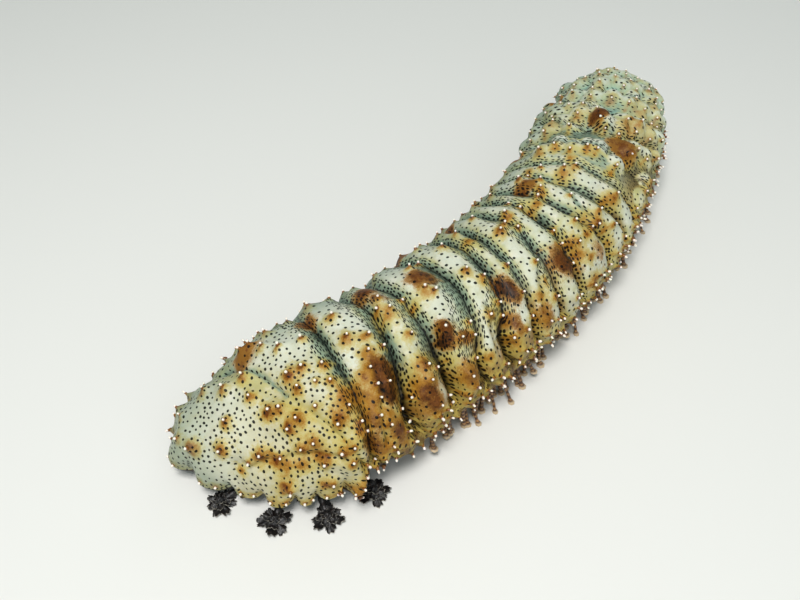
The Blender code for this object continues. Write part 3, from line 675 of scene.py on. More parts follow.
def shapedSphere(name, segments, rings, place):
    # a closed surface: place gives a point for arrays of row share (0 to 1) and turn in radians
    bpy.ops.object.select_all(action="DESELECT")
    bpy.ops.mesh.primitive_uv_sphere_add(segments=segments, ring_count=rings, radius=1)
    piece = bpy.context.object
    piece.name = piece.data.name = name
    co = readMesh(piece.data, "vertices", "co", 3)
    row = np.rint(np.arccos(np.clip(co[:, 2], -1, 1)) / np.pi * rings) / rings
    turn = np.arctan2(co[:, 1], co[:, 0])
    piece.data.vertices.foreach_set("co", place(row, turn).ravel())
    piece.data.update()
    pointOutwards(piece)
    return piece, row, turn


def gridPlaces(share, turn):
    # row and column of the skin grid, with a row before the first and one past the last at the poles
    rows, sides = rowPlaces.shape
    return (np.rint(share * (rows + 1)).astype(int) - 1,
            np.rint(turn / (2 * np.pi) * sides).astype(int) % sides)


def placeOnSkin(share, turn):
    row, column = gridPlaces(share, turn)
    placed = skinPoints[np.clip(row, 0, len(skinPoints) - 1), column]
    placed[row < 0] = tailPole
    placed[row >= len(skinPoints)] = rimPole
    return placed


skin, share, turn = shapedSphere("skin", rowPlaces.shape[1], rowPlaces.shape[0] + 1, placeOnSkin)
vertexRow, vertexColumn = gridPlaces(share, turn)
atTail, atRim = vertexRow < 0, vertexRow >= len(skinPoints)
vertexRow = np.clip(vertexRow, 0, len(skinPoints) - 1)


def mapSkin():
    # a map along the body in u and round it in v, parted under the belly
    corners = readMesh(skin.data, "loops", "vertex_index", kind=int)
    totals = readMesh(skin.data, "polygons", "loop_total", kind=int)
    face = np.repeat(np.arange(len(totals)), totals)
    rows, sides = rowPlaces.shape
    endStep = 0.0005  # metres from the last rows to the poles
    placed = lengthOf(np.diff(skinPoints, axis=0)).mean(axis=1)
    alongU = np.concatenate([[endStep], endStep + np.cumsum(placed)])
    u = alongU[vertexRow[corners]] / (alongU[-1] + endStep)
    u = np.where(atTail[corners], 0, np.where(atRim[corners], 1, u))
    turned = lengthOf(np.roll(skinPoints, -1, axis=1) - skinPoints).mean(axis=0)
    roundV = np.concatenate([[0], np.cumsum(turned)])
    column = vertexColumn[corners].astype(float)
    pole = (atTail | atRim)[corners]
    lowest = np.full(len(totals), sides)
    highest = np.zeros(len(totals))
    np.minimum.at(lowest, face[~pole], column[~pole].astype(int))
    np.maximum.at(highest, face[~pole], column[~pole])
    wraps = highest - lowest > sides / 2  # faces that go over the seam
    column = np.where(wraps[face] & (column < sides / 2), column + sides, column)
    middle = np.where(wraps, sides - 0.5, (lowest + highest) / 2)
    column = np.where(pole, middle[face], column)
    v = np.interp(column, np.arange(sides + 1), roundV) / roundV[-1]
    layer = skin.data.uv_layers.new(name="OFBake")
    layer.data.foreach_set("uv", (0.004 + 0.992 * np.stack([u, v], axis=-1)).ravel().astype(np.float32))


mapSkin()
skinAhead, skinAround, skinOut = gridFrame(skinPoints)
print("skin", len(skin.data.polygons), "faces")


def onVertices(gridValues):
    return gridValues[vertexRow, vertexColumn]


spots = {
    "gap": (1.9, 3.1),     # millimetres between spots near the furrows and on the crests
    "headGap": 2.35,
    "headFrom": 0.298,
    "radius": (0.42, 0.62),
    "tries": 60000,
    "lowest": 114,  # no spots on the belly
    "clear": 1.25,  # and none this near to a papilla
    "shelf": 3.8,   # neighbours are looked for this far away, and up to twice as far
}


def spotPlaces():
    # evenly strewn places on the skin: points, rows, columns and the valley's depth there
    centres = readMesh(skin.data, "polygons", "center", 3)
    areas = readMesh(skin.data, "polygons", "area")
    starts = readMesh(skin.data, "polygons", "loop_start", kind=int)
    first = readMesh(skin.data, "loops", "vertex_index", kind=int)[starts]

    def onFaces(gridValues):
        return onVertices(gridValues)[first]

    areas = np.where(np.abs(onFaces(gridAngle)) < spots["lowest"], areas, 0)
    chosen = dice.choice(len(areas), spots["tries"], p=areas / areas.sum())
    near, far = spots["gap"]
    gap = near + (far - near) * ramp(1 - valley, 0.50, 0.96)
    gap = np.where(rowPlaces > spots["headFrom"], spots["headGap"], gap)
    gap = gap * (1 + 0.30 * softNoise(basePoints, 0.008, 51)) * (1 - 0.06 * ramp(np.abs(gridAngle), 60, 90))
    gap = gap * (1 + 0.4 * ramp(blotch, 0.3, 0.8)) * (1 + 1.2 * ramp(solid, 0.3, 0.7))
    gapOf, valleyOf, dashOf = onFaces(gap) * mm, onFaces(valley), onFaces(dashZone)
    papillaTree = treeOf(papillaPoints)
    cell = spots["shelf"] * mm
    shelf = {}  # the kept points, by the cell that they lie in
    kept = []

    def crowded(point, gap):
        key = (point // cell).astype(int)
        for step in range(27):
            beside = (key[0] + step % 3 - 1, key[1] + step // 3 % 3 - 1, key[2] + step // 9 - 1)
            for x, y, z in shelf.get(beside, ()):
                if (point[0] - x) ** 2 + (point[1] - y) ** 2 + (point[2] - z) ** 2 < gap ** 2:
                    return True
        return papillaTree.find(point)[2] < spots["clear"] * mm

    for face in chosen:
        if dashOf[face] > 0.5:
            continue
        row, column = vertexRow[first[face]], vertexColumn[first[face]]
        jitter = skinAhead[row, column] * dice.uniform(-0.5, 0.5) * mm
        jitter = jitter + skinAround[row, column] * dice.uniform(-0.5, 0.5) * mm
        point = centres[face] + jitter
        if not crowded(point, gapOf[face]):
            shelf.setdefault(tuple((point // cell).astype(int)), []).append(point)
            kept.append((point, row, column, valleyOf[face]))
    return [np.array(values) for values in zip(*kept)]


def paintSpots():
    # each corner gets its place relative to the nearest spot, in spot radii
    points, rows, columns, depths = spotPlaces()
    around, ahead = skinAround[rows, columns], skinAhead[rows, columns]
    bigger = np.where(rowPlaces > spots["headFrom"], 1.12, 1 + 0.28 * ramp(crest, 0.3, 0.9))
    size = dice.uniform(*spots["radius"], len(points)) * bigger[rows, columns] * mm
    stretch = 1 + 0.9 * ramp(depths, 0.20, 0.75) + dice.uniform(-0.1, 0.2, len(points))
    size *= 1 - 0.25 * np.clip(depths, 0, 1)
    tree = treeOf(points)
    centres = readMesh(skin.data, "polygons", "center", 3)
    candidates = np.array([[found[1] for found in tree.find_n(centre, 3)] for centre in centres])

    def offsets(places, numbers):
        off = places - points[numbers]
        return (np.einsum("...k,...k", off, around[numbers]) / (size * stretch)[numbers],
                np.einsum("...k,...k", off, ahead[numbers]) / (size / np.sqrt(stretch))[numbers])

    x, y = offsets(centres[:, None, :], candidates)
    owner = candidates[np.arange(len(centres)), np.argmin(np.hypot(x, y), axis=1)]
    owner = np.repeat(owner, readMesh(skin.data, "polygons", "loop_total", kind=int))
    corners = readMesh(skin.data, "loops", "vertex_index", kind=int)
    x, y = offsets(readMesh(skin.data, "vertices", "co", 3)[corners], owner)
    tone = dice.random(len(points))[owner]
    paint(skin, "spot", np.stack([np.clip(x, -6, 6), np.clip(y, -6, 6), tone], axis=-1), "CORNER")
    print("spots", len(points))


def alongBody(places, values):
    # a value at each place of the grid, from a few places in millimetres
    return np.interp(rowPlaces / mm, places, values)


leftTint = ramp(gridAngle, 34, 80) * alongBody((0, 100, 200, 225, 300, 322, 345),
                                               (0.12, 0.18, 0.40, 1.00, 1.00, 0.50, 0.15))
# painted shade: how strongly the low near flank darkens along the body
lowShadeTint = alongBody((150, 200, 230, 300, 322, 345), (0.0, 0.35, 1.0, 1.0, 0.55, 0.20))
# painted shade: how strongly the far side, turned from the light, goes dim teal along the body
farShadeTint = alongBody((0, 230, 280, 312, 350), (0.66, 0.68, 0.94, 0.66, 0.50))
tints = {
    "valley": np.clip(valley, 0, 1),
    "dashZone": dashZone,
    "creaseShadeLine": creaseShadeLine,
    "crest": crest,
    "stain": stain,
    "stainTone": stainTone,
    "blotch": blotch,
    "blotchDark": blotchDark,
    "flank": np.maximum(leftTint, 0.6 * ramp(-gridAngle, 60, 100)),
    "cool": 1 - ramp(gridAngle, 18, 60),
    # painted haze and shade: the tail end tinted pale teal, less on the crests
    "tailHazeShade": 0.80 * (1 - ramp(rowPlaces, 0.03, 0.12)) * (1 - 0.70 * ramp(crest, 0.25, 0.8)),
    "farSideShade": farShadeTint * ramp(-gridAngle, 14, 64),
    "lowFlankShade": ramp(gridAngle, 58, 96) * lowShadeTint,
    "warm": ramp(rowPlaces, 0.296, 0.322) * (0.3 + 0.7 * ramp(gridAngle, -30, 28)),
    "belly": ramp(np.abs(gridAngle), 106, 122),
    # darker under the hood's rim: painted shade over the hood's own dark underside
    "hood": ramp(np.abs(gridAngle), 99, 103) * ramp(rowPlaces, 0.27, 0.29),
    # the dashes' own map: 2.6 mm by 0.86 mm for each, shifted from furrow to furrow
    "foldPlace": np.stack([gridAngle * degreeRound / 2.6 + 7.3 * furrowNumber, furrowOff / 0.86,
                           np.zeros(rowPlaces.shape)], axis=-1),
}
for name, values in tints.items():
    paint(skin, name, onVertices(values))
paintSpots()


# Materials
def rgb(r, g, b):
    # a colour as seen on a screen, 0 to 255, in the renderer's own scale
    shares = (c / 255 for c in (r, g, b))
    return tuple(c / 12.92 if c <= 10 / 255 else ((c + 0.055) / 1.055) ** 2.4 for c in shares) + (1,)


class Nodes:
    # builds one material's node tree
    sockets = {"colour": "Base Color", "normal": "Normal", "roughness": "Roughness",
               "specular": "Specular IOR Level", "scatter": "Subsurface Weight",
               "scatterRadius": "Subsurface Radius", "scatterScale": "Subsurface Scale"}

    def __init__(self, name):
        self.material = bpy.data.materials.new(name)
        self.material.use_nodes = True
        self.tree = self.material.node_tree
        self.shader = self.tree.nodes["Principled BSDF"]
        self.object = self.add("ShaderNodeTexCoord").outputs["Object"]

    def add(self, kind, **values):
        node = self.tree.nodes.new(kind)
        for key, value in values.items():
            setattr(node, key, value)
        return node

    def join(self, source, socket):
        # a node's output is linked, and a plain value is set on the socket
        if hasattr(source, "is_output"):
            self.tree.links.new(source, socket)
        else:
            socket.default_value = source

    def read(self, name, output="Fac"):
        return self.add("ShaderNodeAttribute", attribute_name=name).outputs[output]

    def math(self, operation, a, b=0.0):
        node = self.add("ShaderNodeMath", operation=operation)
        for source, socket in zip((a, b), node.inputs):
            self.join(source, socket)
        return node.outputs[0]

    def times(self, a, b):
        return self.math("MULTIPLY", a, b)

    def plus(self, a, b):
        return self.math("ADD", a, b)

    def spread(self, value, low, high, start=0.0, end=1.0):
        node = self.add("ShaderNodeMapRange", interpolation_type="SMOOTHSTEP")
        for source, socket in zip((value, low, high, start, end), node.inputs):
            self.join(source, socket)
        return node.outputs[0]

    def noise(self, scale, detail, place=None):
        node = self.add("ShaderNodeTexNoise")
        self.join(place if place is not None else self.object, node.inputs["Vector"])
        node.inputs["Scale"].default_value = scale
        node.inputs["Detail"].default_value = detail
        return node.outputs["Fac"]

    def uneven(self, value, scale, amount, detail=4):
        # the value with noise added
        return self.plus(value, self.times(self.math("SUBTRACT", self.noise(scale, detail), 0.5), amount))

    def mix(self, amount, a, b):
        node = self.add("ShaderNodeMix", data_type="RGBA")
        self.join(amount, node.inputs["Factor"])
        self.join(a, node.inputs["A"])
        self.join(b, node.inputs["B"])
        return node.outputs["Result"]

    def bump(self, height, distance, strength, under=None):
        node = self.add("ShaderNodeBump")
        node.inputs["Strength"].default_value = strength
        node.inputs["Distance"].default_value = distance
        self.join(height, node.inputs["Height"])
        if under is not None:
            self.join(under, node.inputs["Normal"])
        return node.outputs["Normal"]

    def finish(self, **values):
        for name, value in values.items():
            self.join(value, self.shader.inputs[self.sockets[name]])
        return self.material


skinColours = {
    "cream": rgb(203, 206, 188),
    "pale": rgb(224, 220, 206),
    "warmCream": rgb(180, 168, 122),
    "yellow": rgb(182, 178, 122),
    "hazeShadeTeal": rgb(146, 188, 178),
    "farShadeTeal": rgb(102, 128, 110),
    "teal": rgb(128, 150, 132),
    "shadeTeal": rgb(50, 68, 58),
    "tan": rgb(136, 112, 60),
    "shadeTan": rgb(54, 34, 10),
    "ochre": rgb(152, 108, 42),
    "straw": rgb(182, 164, 84),
    "gold": rgb(158, 110, 32),
    "rust": rgb(96, 42, 0),
    "patch": rgb(128, 86, 30),
    "lowShadeBrown": rgb(74, 50, 24),
    "brown": rgb(96, 52, 14),
    "blotch": rgb(44, 20, 4),
    "spot": rgb(4, 4, 3),
    "belly": rgb(112, 90, 64),
}


def skinMaterial():
    n = Nodes("spottedSkin")
    c = skinColours

    def lay(under, field, low, high, most, over):
        # a colour over the others where the field rises from low to high
        return n.mix(n.spread(field, low, high, 0, most), under, over)

    valleyHere, coolHere, flankHere = n.read("valley"), n.read("cool"), n.read("flank")
    fine = n.noise(420, 4)
    crestHere = n.uneven(n.uneven(n.read("crest"), 60, 1.3, 3), 260, 0.5)
    colour = n.mix(n.spread(crestHere, 0.30, 0.95), c["yellow"], c["cream"])
    colour = lay(colour, fine, 0.50, 0.80, 0.20, c["teal"])
    lit = n.spread(n.noise(170, 5), 0.50, 0.72, 0, 0.55)
    colour = n.mix(n.times(lit, n.spread(flankHere, 0.1, 0.6, 1, 0.1)), colour, c["pale"])
    colour = n.mix(n.times(n.uneven(n.read("warm"), 110, 0.8, 3), 0.62), colour, c["warmCream"])
    # Valleys: tinted teal on the back and tan on the near flank, then darkened towards the furrow bottoms
    # with painted shade
    shaded = n.uneven(valleyHere, 420, 0.5)
    colour = lay(colour, shaded, 0.08, 0.60, 0.85, n.mix(coolHere, c["tan"], c["teal"]))
    colour = lay(colour, shaded, 0.52, 1.05, 0.90, n.mix(coolHere, c["shadeTan"], c["shadeTeal"]))
    low = n.math("SUBTRACT", n.uneven(flankHere, 95, 0.9, 3), n.times(crestHere, 0.22))
    colour = lay(colour, low, 0.15, 0.80, 0.92, c["ochre"])
    # painted shade: low on the near flank the skin darkens to brown
    colour = n.mix(n.times(n.uneven(n.read("lowFlankShade"), 95, 0.7, 3), 0.74), colour, c["lowShadeBrown"])
    stainHere = n.uneven(n.uneven(n.read("stain"), 500, 0.8), 1700, 0.6)
    level = n.times(stainHere, n.plus(n.times(n.read("stainTone"), 0.75), 0.40))
    colour = lay(colour, level, 0.02, 0.36, 0.78, c["straw"])
    colour = lay(colour, level, 0.26, 0.66, 0.90, c["gold"])
    colour = lay(colour, level, 0.58, 0.98, 0.92, c["rust"])
    # painted haze and shade over the tail end, weaker on stains
    tailHazeShade = n.times(n.read("tailHazeShade"), n.spread(level, 0.2, 0.8, 0.85, 0.4))
    # painted shade on the far side, turned from the light, weaker on stains
    farSideShade = n.times(n.read("farSideShade"), n.spread(level, 0.3, 0.9, 0.95, 0.6))
    colour = n.mix(farSideShade, n.mix(tailHazeShade, colour, c["hazeShadeTeal"]), c["farShadeTeal"])
    blotchHere = n.uneven(n.uneven(n.read("blotch"), 230, 0.7), 1300, 0.6)
    blotchTone = n.uneven(n.uneven(n.read("blotchDark"), 260, 1.4), 1200, 1.2)
    blotchColour = n.mix(n.spread(blotchTone, 0.05, 0.45), c["patch"], c["brown"])
    blotchColour = n.mix(n.spread(blotchTone, 0.45, 1.00), blotchColour, c["blotch"])
    colour = lay(colour, blotchHere, 0.10, 0.55, 0.88, c["gold"])
    colour = lay(colour, blotchHere, 0.30, 0.80, 0.97, blotchColour)
    colour = n.mix(n.read("belly"), colour, c["belly"])
    # painted shade under the hood's rim, over its own dark underside
    colour = n.mix(n.read("hood"), colour, c["shadeTan"])
    # painted shade: a near-black line along the bottoms of the furrows and creases
    colour = lay(colour, n.read("creaseShadeLine"), 0.25, 0.90, 0.92, c["spot"])

    # dashes in rows beside the furrows
    dash = n.add("ShaderNodeTexVoronoi", feature="F1", voronoi_dimensions="2D")
    n.join(n.read("foldPlace", "Vector"), dash.inputs["Vector"])
    dash.inputs["Scale"].default_value = 1
    dash.inputs["Randomness"].default_value = 0.72
    dashMask = n.spread(dash.outputs["Distance"], 0.27, 0.38, 1, 0)
    dashMask = n.times(dashMask, n.spread(n.read("dashZone"), 0.40, 0.52))
    # round spots on the rest
    split = n.add("ShaderNodeSeparateXYZ")
    n.join(n.read("spot", "Vector"), split.inputs[0])
    squares = [n.math("POWER", n.math("ABSOLUTE", split.outputs[side]), 2.0) for side in (0, 1)]
    spotMask = n.spread(n.uneven(n.math("SQRT", n.plus(*squares)), 1800, 0.45, 2), 0.88, 1.12, 1, 0)
    spotMask = n.times(spotMask, n.spread(n.read("belly"), 0.2, 0.8, 1, 0))
    colour = n.mix(n.times(n.math("MAXIMUM", spotMask, dashMask), 0.97), colour, c["spot"])

    relief = n.plus(n.times(n.noise(2600, 4), 0.35), n.noise(900, 3))
    normal = n.bump(relief, 0.00022, 0.5)
    wrinkle = n.noise(1.5, 3, n.read("foldPlace", "Vector"))
    normal = n.bump(n.times(wrinkle, valleyHere), 0.0007, 0.7, normal)
    return n.finish(colour=colour, normal=normal, roughness=n.spread(fine, 0.3, 0.75, 0.44, 0.60),
                    specular=0.16, scatter=0.04, scatterRadius=(1.0, 0.6, 0.35), scatterScale=0.0012)


skin.data.materials.append(skinMaterial())
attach(skin, "root")
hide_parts("tail", "trunk_rear", "trunk_middle", "trunk_front", "head",
            "sole_rear", "sole_middle", "sole_front")
print("skin painted")

# White points on the papillae, modelled once and copied
tipShape = {
    "sides": 8,
    "rings": ((1.05, -1.1), (0.86, -0.35), (0.66, 0.05), (0.56, 0.30), (0.62, 0.55), (0.60, 0.85),
              (0.38, 1.10)),  # radius and level
    "lean": 0.15,
}


def ringedTemplate(rings, sides):
    # a turned shape: a disc extruded upwards ring by ring, each ring a radius and a level
    bpy.ops.object.select_all(action="DESELECT")
    bpy.ops.mesh.primitive_circle_add(vertices=sides, radius=rings[0][0] * mm, fill_type="NGON",
                                      location=(0, 0, rings[0][1] * mm))
    piece = bpy.context.object
    bpy.ops.object.transform_apply(location=True, rotation=False, scale=False)
    bpy.ops.object.mode_set(mode="EDIT")
    bpy.ops.mesh.select_all(action="SELECT")
    for (before, low), (after, high) in zip(rings, rings[1:]):
        bpy.ops.mesh.extrude_region_move(TRANSFORM_OT_translate={"value": (0, 0, (high - low) * mm)})
        bpy.ops.transform.resize(value=(after / before, after / before, 1), center_override=(0, 0, high * mm))
    bpy.ops.object.mode_set(mode="OBJECT")
    pointOutwards(piece)
    return piece


def strew(name, template, matrices, values):
    # one mesh with a copy of the template at each matrix; values holds one number per copy and name
    count = len(template.data.vertices)
    co = np.c_[readMesh(template.data, "vertices", "co", 3), np.ones(count)]
    polygons = [tuple(p.vertices) for p in template.data.polygons]
    placed = np.concatenate([(co @ np.array(matrix).T)[:, :3] for matrix in matrices])
    faces = [tuple(v + count * number for v in polygon)
             for number in range(len(matrices)) for polygon in polygons]
    mesh = bpy.data.meshes.new(name)
    mesh.from_pydata(placed.tolist(), [], faces)
    mesh.update()
    piece = bpy.data.objects.new(name, mesh)
    bpy.context.scene.collection.objects.link(piece)
    heights = co[:, 2]
    share = (heights - heights.min()) / (heights.max() - heights.min())
    paint(piece, "share", np.tile(share, len(matrices)))
    for key, numbers in values.items():
        paint(piece, key, np.repeat(numbers, count))
    mesh.shade_smooth()
    bpy.data.objects.remove(template, do_unlink=True)
    return piece


def standOn(row, column, wide, tall, tilt=(0, 0, 0)):
    out = Vector(skinOut[row, column]) + Vector(tilt)
    turn = out.to_track_quat("Z", "Y").to_matrix().to_4x4()
    return Matrix.Translation(Vector(skinPoints[row, column])) @ turn @ Matrix.Diagonal((wide, wide, tall, 1))


def addTips():
    template = ringedTemplate(tipShape["rings"], tipShape["sides"])
    matrices, tones = [], []
    for row, column, size, kind, tone in tips:
        tall = {"lobe": 1.0, "margin": random.uniform(1.0, 1.7), "back": random.uniform(0.75, 1.1)}[kind]
        wide = random.uniform(0.80, 1.08) * (0.75 + 0.25 * size)
        tilt = [random.uniform(-tipShape["lean"], tipShape["lean"]) for _ in range(3)]
        matrices.append(standOn(row, column, wide, tall, tilt))
        tones.append(tone)
    piece = strew("papillaPoints", template, matrices, {"tone": tones})
    n = Nodes("papillaPoint")
    brown = n.mix(n.read("tone"), skinColours["gold"], skinColours["rust"])
    share = n.uneven(n.read("share"), 900, 0.1, 2)
    colour = n.mix(n.spread(share, 0.55, 0.68), brown, rgb(246, 236, 224))
    piece.data.materials.append(n.finish(colour=colour, roughness=0.3, scatter=0.1, scatterScale=0.001))
    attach(piece, "root")
    print("papilla points", len(matrices))


addTips()

# Mouth: a short dark cylinder under the hood, with radial folds and a sunk opening
mouthShape = {"radius": 14.0, "bottom": 6.6, "top": 14.8, "folds": 20, "opening": 4.0, "sunk": 4.5}


def addMouth():
    m = mouthShape

    def place(row, turn):
        # rows run from the middle of the top, down the wall and in to the opening
        shares = (0.0, 0.30, 0.36, 0.62, 0.68, 0.80, 0.88, 0.94, 1.0)
        radii = (0.0, 13.4, m["radius"], m["radius"], 13.2, 8.5, m["opening"] + 0.8, m["opening"], 0.0)
        levels = (m["top"], m["top"], m["top"] - 0.5, m["bottom"] + 1.0, m["bottom"], m["bottom"] + 0.5,
                  m["bottom"] + 0.3, m["bottom"] + 1.5, m["bottom"] + m["sunk"])
        radius = np.interp(row, shares, radii)
        level = np.interp(row, shares, levels)
        ridge = np.cos(turn * m["folds"]) * 0.35 * ramp(radius, 2, 8)
        radius = radius - np.maximum(0, ridge)
        level = level + np.where(row > 0.62, ridge, 0)
        x, y = radius * np.cos(turn + hoodHeading), radius * np.sin(turn + hoodHeading)
        return np.stack([hoodX + x * mm, hoodY + y * mm, level * mm], axis=-1)

    piece = shapedSphere("mouthCone", 120, 44, place)[0]
    n = Nodes("mouthSkin")
    colour = n.mix(n.spread(n.noise(500, 4), 0.35, 0.7), rgb(22, 18, 16), rgb(64, 50, 38))
    normal = n.bump(n.noise(1500, 4), 0.0003, 0.6)
    piece.data.materials.append(n.finish(colour=colour, normal=normal, roughness=0.38))
    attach(piece, "root")
    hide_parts("mouth")
    print("mouth")


# Tentacles: a bent stalk that ends in a lobed frond, which lies on the floor
tentacleShape = {
    "count": 20,
    "start": 13.5, "startLevel": 10.8,
    "stalk": 1.9, "stalkGrid": (12, 34),
    "frondGrid": (96, 16),
    "long": {1: 36.8, 3: 36.0, 5: 38.5, 15: 39.5, 17: 54.0, 19: 43.0}, "longFrond": 8.4,  # by number
    "short": 22.8, "shortFrond": 4.6,
    "behindReach": 31.4, "behindFrond": 5.8,
    "branches": (6, 8),
    "layers": ((1.0, 0.0, 0.0), (0.68, 1.5, 0.5), (0.40, 2.7, 1.1)),  # size, level and turn of each
}


def tentacleMaterial():
    n = Nodes("tentacleSkin")
    body = n.mix(n.spread(n.noise(900, 4), 0.40, 0.72), rgb(9, 8, 9), rgb(34, 27, 25))
    edge = n.uneven(n.read("edge"), 900, 0.35)
    colour = n.mix(n.spread(edge, 0.86, 1.02, 0, 0.8), body, rgb(196, 188, 172))
    return n.finish(colour=colour, normal=n.bump(n.noise(1600, 4), 0.00025, 0.7), roughness=0.42)


def addTentacle(number, material):
    t = tentacleShape
    turnOut = hoodHeading + 2 * math.pi * (number + 0.5) / t["count"]
    if number % 2 == 0:
        reach, size = t["short"], t["shortFrond"]
    elif number in t["long"]:
        reach, size = t["long"][number], t["longFrond"] * random.uniform(0.94, 1.04)
    else:
        reach, size = t["behindReach"], t["behindFrond"]
    branches = random.randint(*t["branches"])
    starts = [(part + random.uniform(-0.28, 0.28)) * 2 * math.pi / branches for part in range(branches)]
    lengths = [random.uniform(0.78, 1.0) for _ in range(branches)]
    ruffle = [random.uniform(0, 2 * math.pi) for _ in range(3)]

    def onFloor(out, side, level):
        # millimetres along and across the tentacle's direction, in the row frame
        x = out * math.cos(turnOut) - side * math.sin(turnOut)
        y = out * math.sin(turnOut) + side * math.cos(turnOut)
        return np.stack([hoodX + x * mm, hoodY + y * mm, level * mm], axis=-1)

    def onBranch(turn):
        # 1 in the middle of a branch and 0 between two, and the branch's length
        best, length = np.zeros(turn.shape), np.full(turn.shape, 0.78)
        for start, far in zip(starts, lengths):
            off = np.abs((turn - start + math.pi) % (2 * math.pi) - math.pi) * branches / (2 * math.pi)
            here = np.clip(1 - (off * 1.9) ** 2, 0, 1)
            length = np.where(here > best, far, length)
            best = np.maximum(best, here)
        return best, length

    def frond(row, turn, shrink, base, phase):
        # a flat branched leaf with a ruffled edge, which lies on the floor
        top = row < 0.5
        share = np.where(top, row, 1 - row) * 2
        share = np.sin(share * math.pi / 2) ** 0.9
        branch, length = onBranch(turn + phase)
        twig = (0.6 * np.abs(np.cos(turn * branches * 1.5 + ruffle[2]))
                + 0.4 * np.abs(np.cos(turn * branches * 3.5 + ruffle[0])))
        radius = size * shrink * length * (0.46 + 0.32 * branch ** 0.7 + 0.22 * twig) * share
        groove = (1 - branch) * ramp(share, 0.2, 0.7)
        wave = 0.9 + 0.75 * np.sin(3 * turn + ruffle[0]) + 0.5 * np.sin(7 * turn + ruffle[1])
        lift = np.maximum(ramp(share, 0.45, 1.0) * wave, 0) * size / t["longFrond"]
        flat = np.stack([radius * np.cos(turn), radius * np.sin(turn), 0 * turn], axis=-1)
        knobs = softNoise(flat, 1.3, number) * ramp(share, 0.1, 0.4)
        thick = (2.3 - 1.75 * ramp(share, 0.1, 0.95)) - 0.5 * groove + 0.35 * knobs
        level = np.where(top, lift + 0.1 + thick, lift * ramp(share, 0.5, 1) + 0.02)
        level = np.where(share > 0.985, lift + 0.35, level) + base * size / t["longFrond"]
        return onFloor(reach + radius * np.cos(turn), radius * np.sin(turn), level)

    bend = (min(24.5, reach - 1), 4.2)
    if reach == t["short"]:
        bend = ((18.5 + reach) / 2 + 0.8, 4.6)
    path = smoothLine(((t["start"], t["startLevel"]), (18.5, 9.2), bend, (reach, 1.6)), 8)
    lengthShare = np.concatenate([[0], np.cumsum(np.hypot(*np.diff(path, axis=0).T))])
    lengthShare /= lengthShare[-1]
    slope = np.gradient(path, axis=0)
    slope /= np.linalg.norm(slope, axis=1, keepdims=True)

    def stalk(row, turn):
        # a ringed tube along the path, with round ends
        end = 0.06
        share = np.clip((row - end) / (1 - 2 * end), 0, 1)
        cap = np.clip((end - np.minimum(row, 1 - row)) / end, 0, 1)
        cap = np.sqrt(np.clip(1 - cap ** 2, 0, 1))
        out, level, ox, oz = (np.interp(share, lengthShare, values) for values in (*path.T, *slope.T))
        radius = t["stalk"] * cap * (1 + 0.10 * np.cos(share * 46)) * (1 - 0.2 * share)
        across, lift = radius * np.cos(turn), radius * np.sin(turn)
        return onFloor(out - oz * lift, across, np.maximum(level + ox * lift, 0.05))

    leaves = []
    for layer in t["layers"]:
        leaf, row, turn = shapedSphere("frond", *t["frondGrid"], lambda row, turn: frond(row, turn, *layer))
        paint(leaf, "edge", np.sin(np.clip(np.minimum(row, 1 - row) * 2, 0, 1) * math.pi / 2) ** 6)
        leaves.append(leaf)
    tube = shapedSphere("stalk", *t["stalkGrid"], stalk)[0]
    paint(tube, "edge", np.zeros(len(tube.data.vertices)))
    alone(tube)
    for leaf in leaves:
        leaf.select_set(True)
    bpy.ops.object.join()
    piece = bpy.context.object
    piece.name = piece.data.name = f"tentacleFrond{number + 1:02d}"
    piece.data.materials.append(material)
    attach(piece, "root")
    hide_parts(f"tentacle_{number + 1:02d}")


addMouth()
tentacleSkin = tentacleMaterial()
for number in range(tentacleShape["count"]):
    addTentacle(number, tentacleSkin)
print("tentacles")

# Tube feet: banded columns with a sucker on the floor, modelled once and copied
feet = {
    "sides": 7,
    "rings": ((1.30, 0.0), (1.42, 0.22), (1.28, 0.50), (0.80, 0.85), (0.62, 1.5), (0.72, 2.4), (0.60, 3.2),
              (0.70, 4.2), (0.60, 5.2), (0.78, 6.4), (0.95, 8.0)),
    "height": 8.0,
    # rows: angle of the root, share of the half width where the sucker stands, spacing in millimetres
    "flankRows": ((122, 1.00, 8.5), (128, 0.92, 4.8), (135, 0.80, 4.2), (143, 0.68, 4.4)),
    "soleRows": ((0.50, 4.4), (0.30, 4.6), (0.10, 4.6)),
    "from": 22, "to": 271,
    "drawnIn": 0.40,  # share of the outer ones that don't reach the floor
}


def beside(s, wide):
    # the floor's point that far to the left of the spine
    x, y, heading = (float(value) for value in spineAt(s))
    return Vector((x - wide * math.sin(heading), y + wide * math.cos(heading), 0))


def shifted(along, across):
    return Vector((random.uniform(-along, along) * mm, random.uniform(-across, across) * mm, 0))


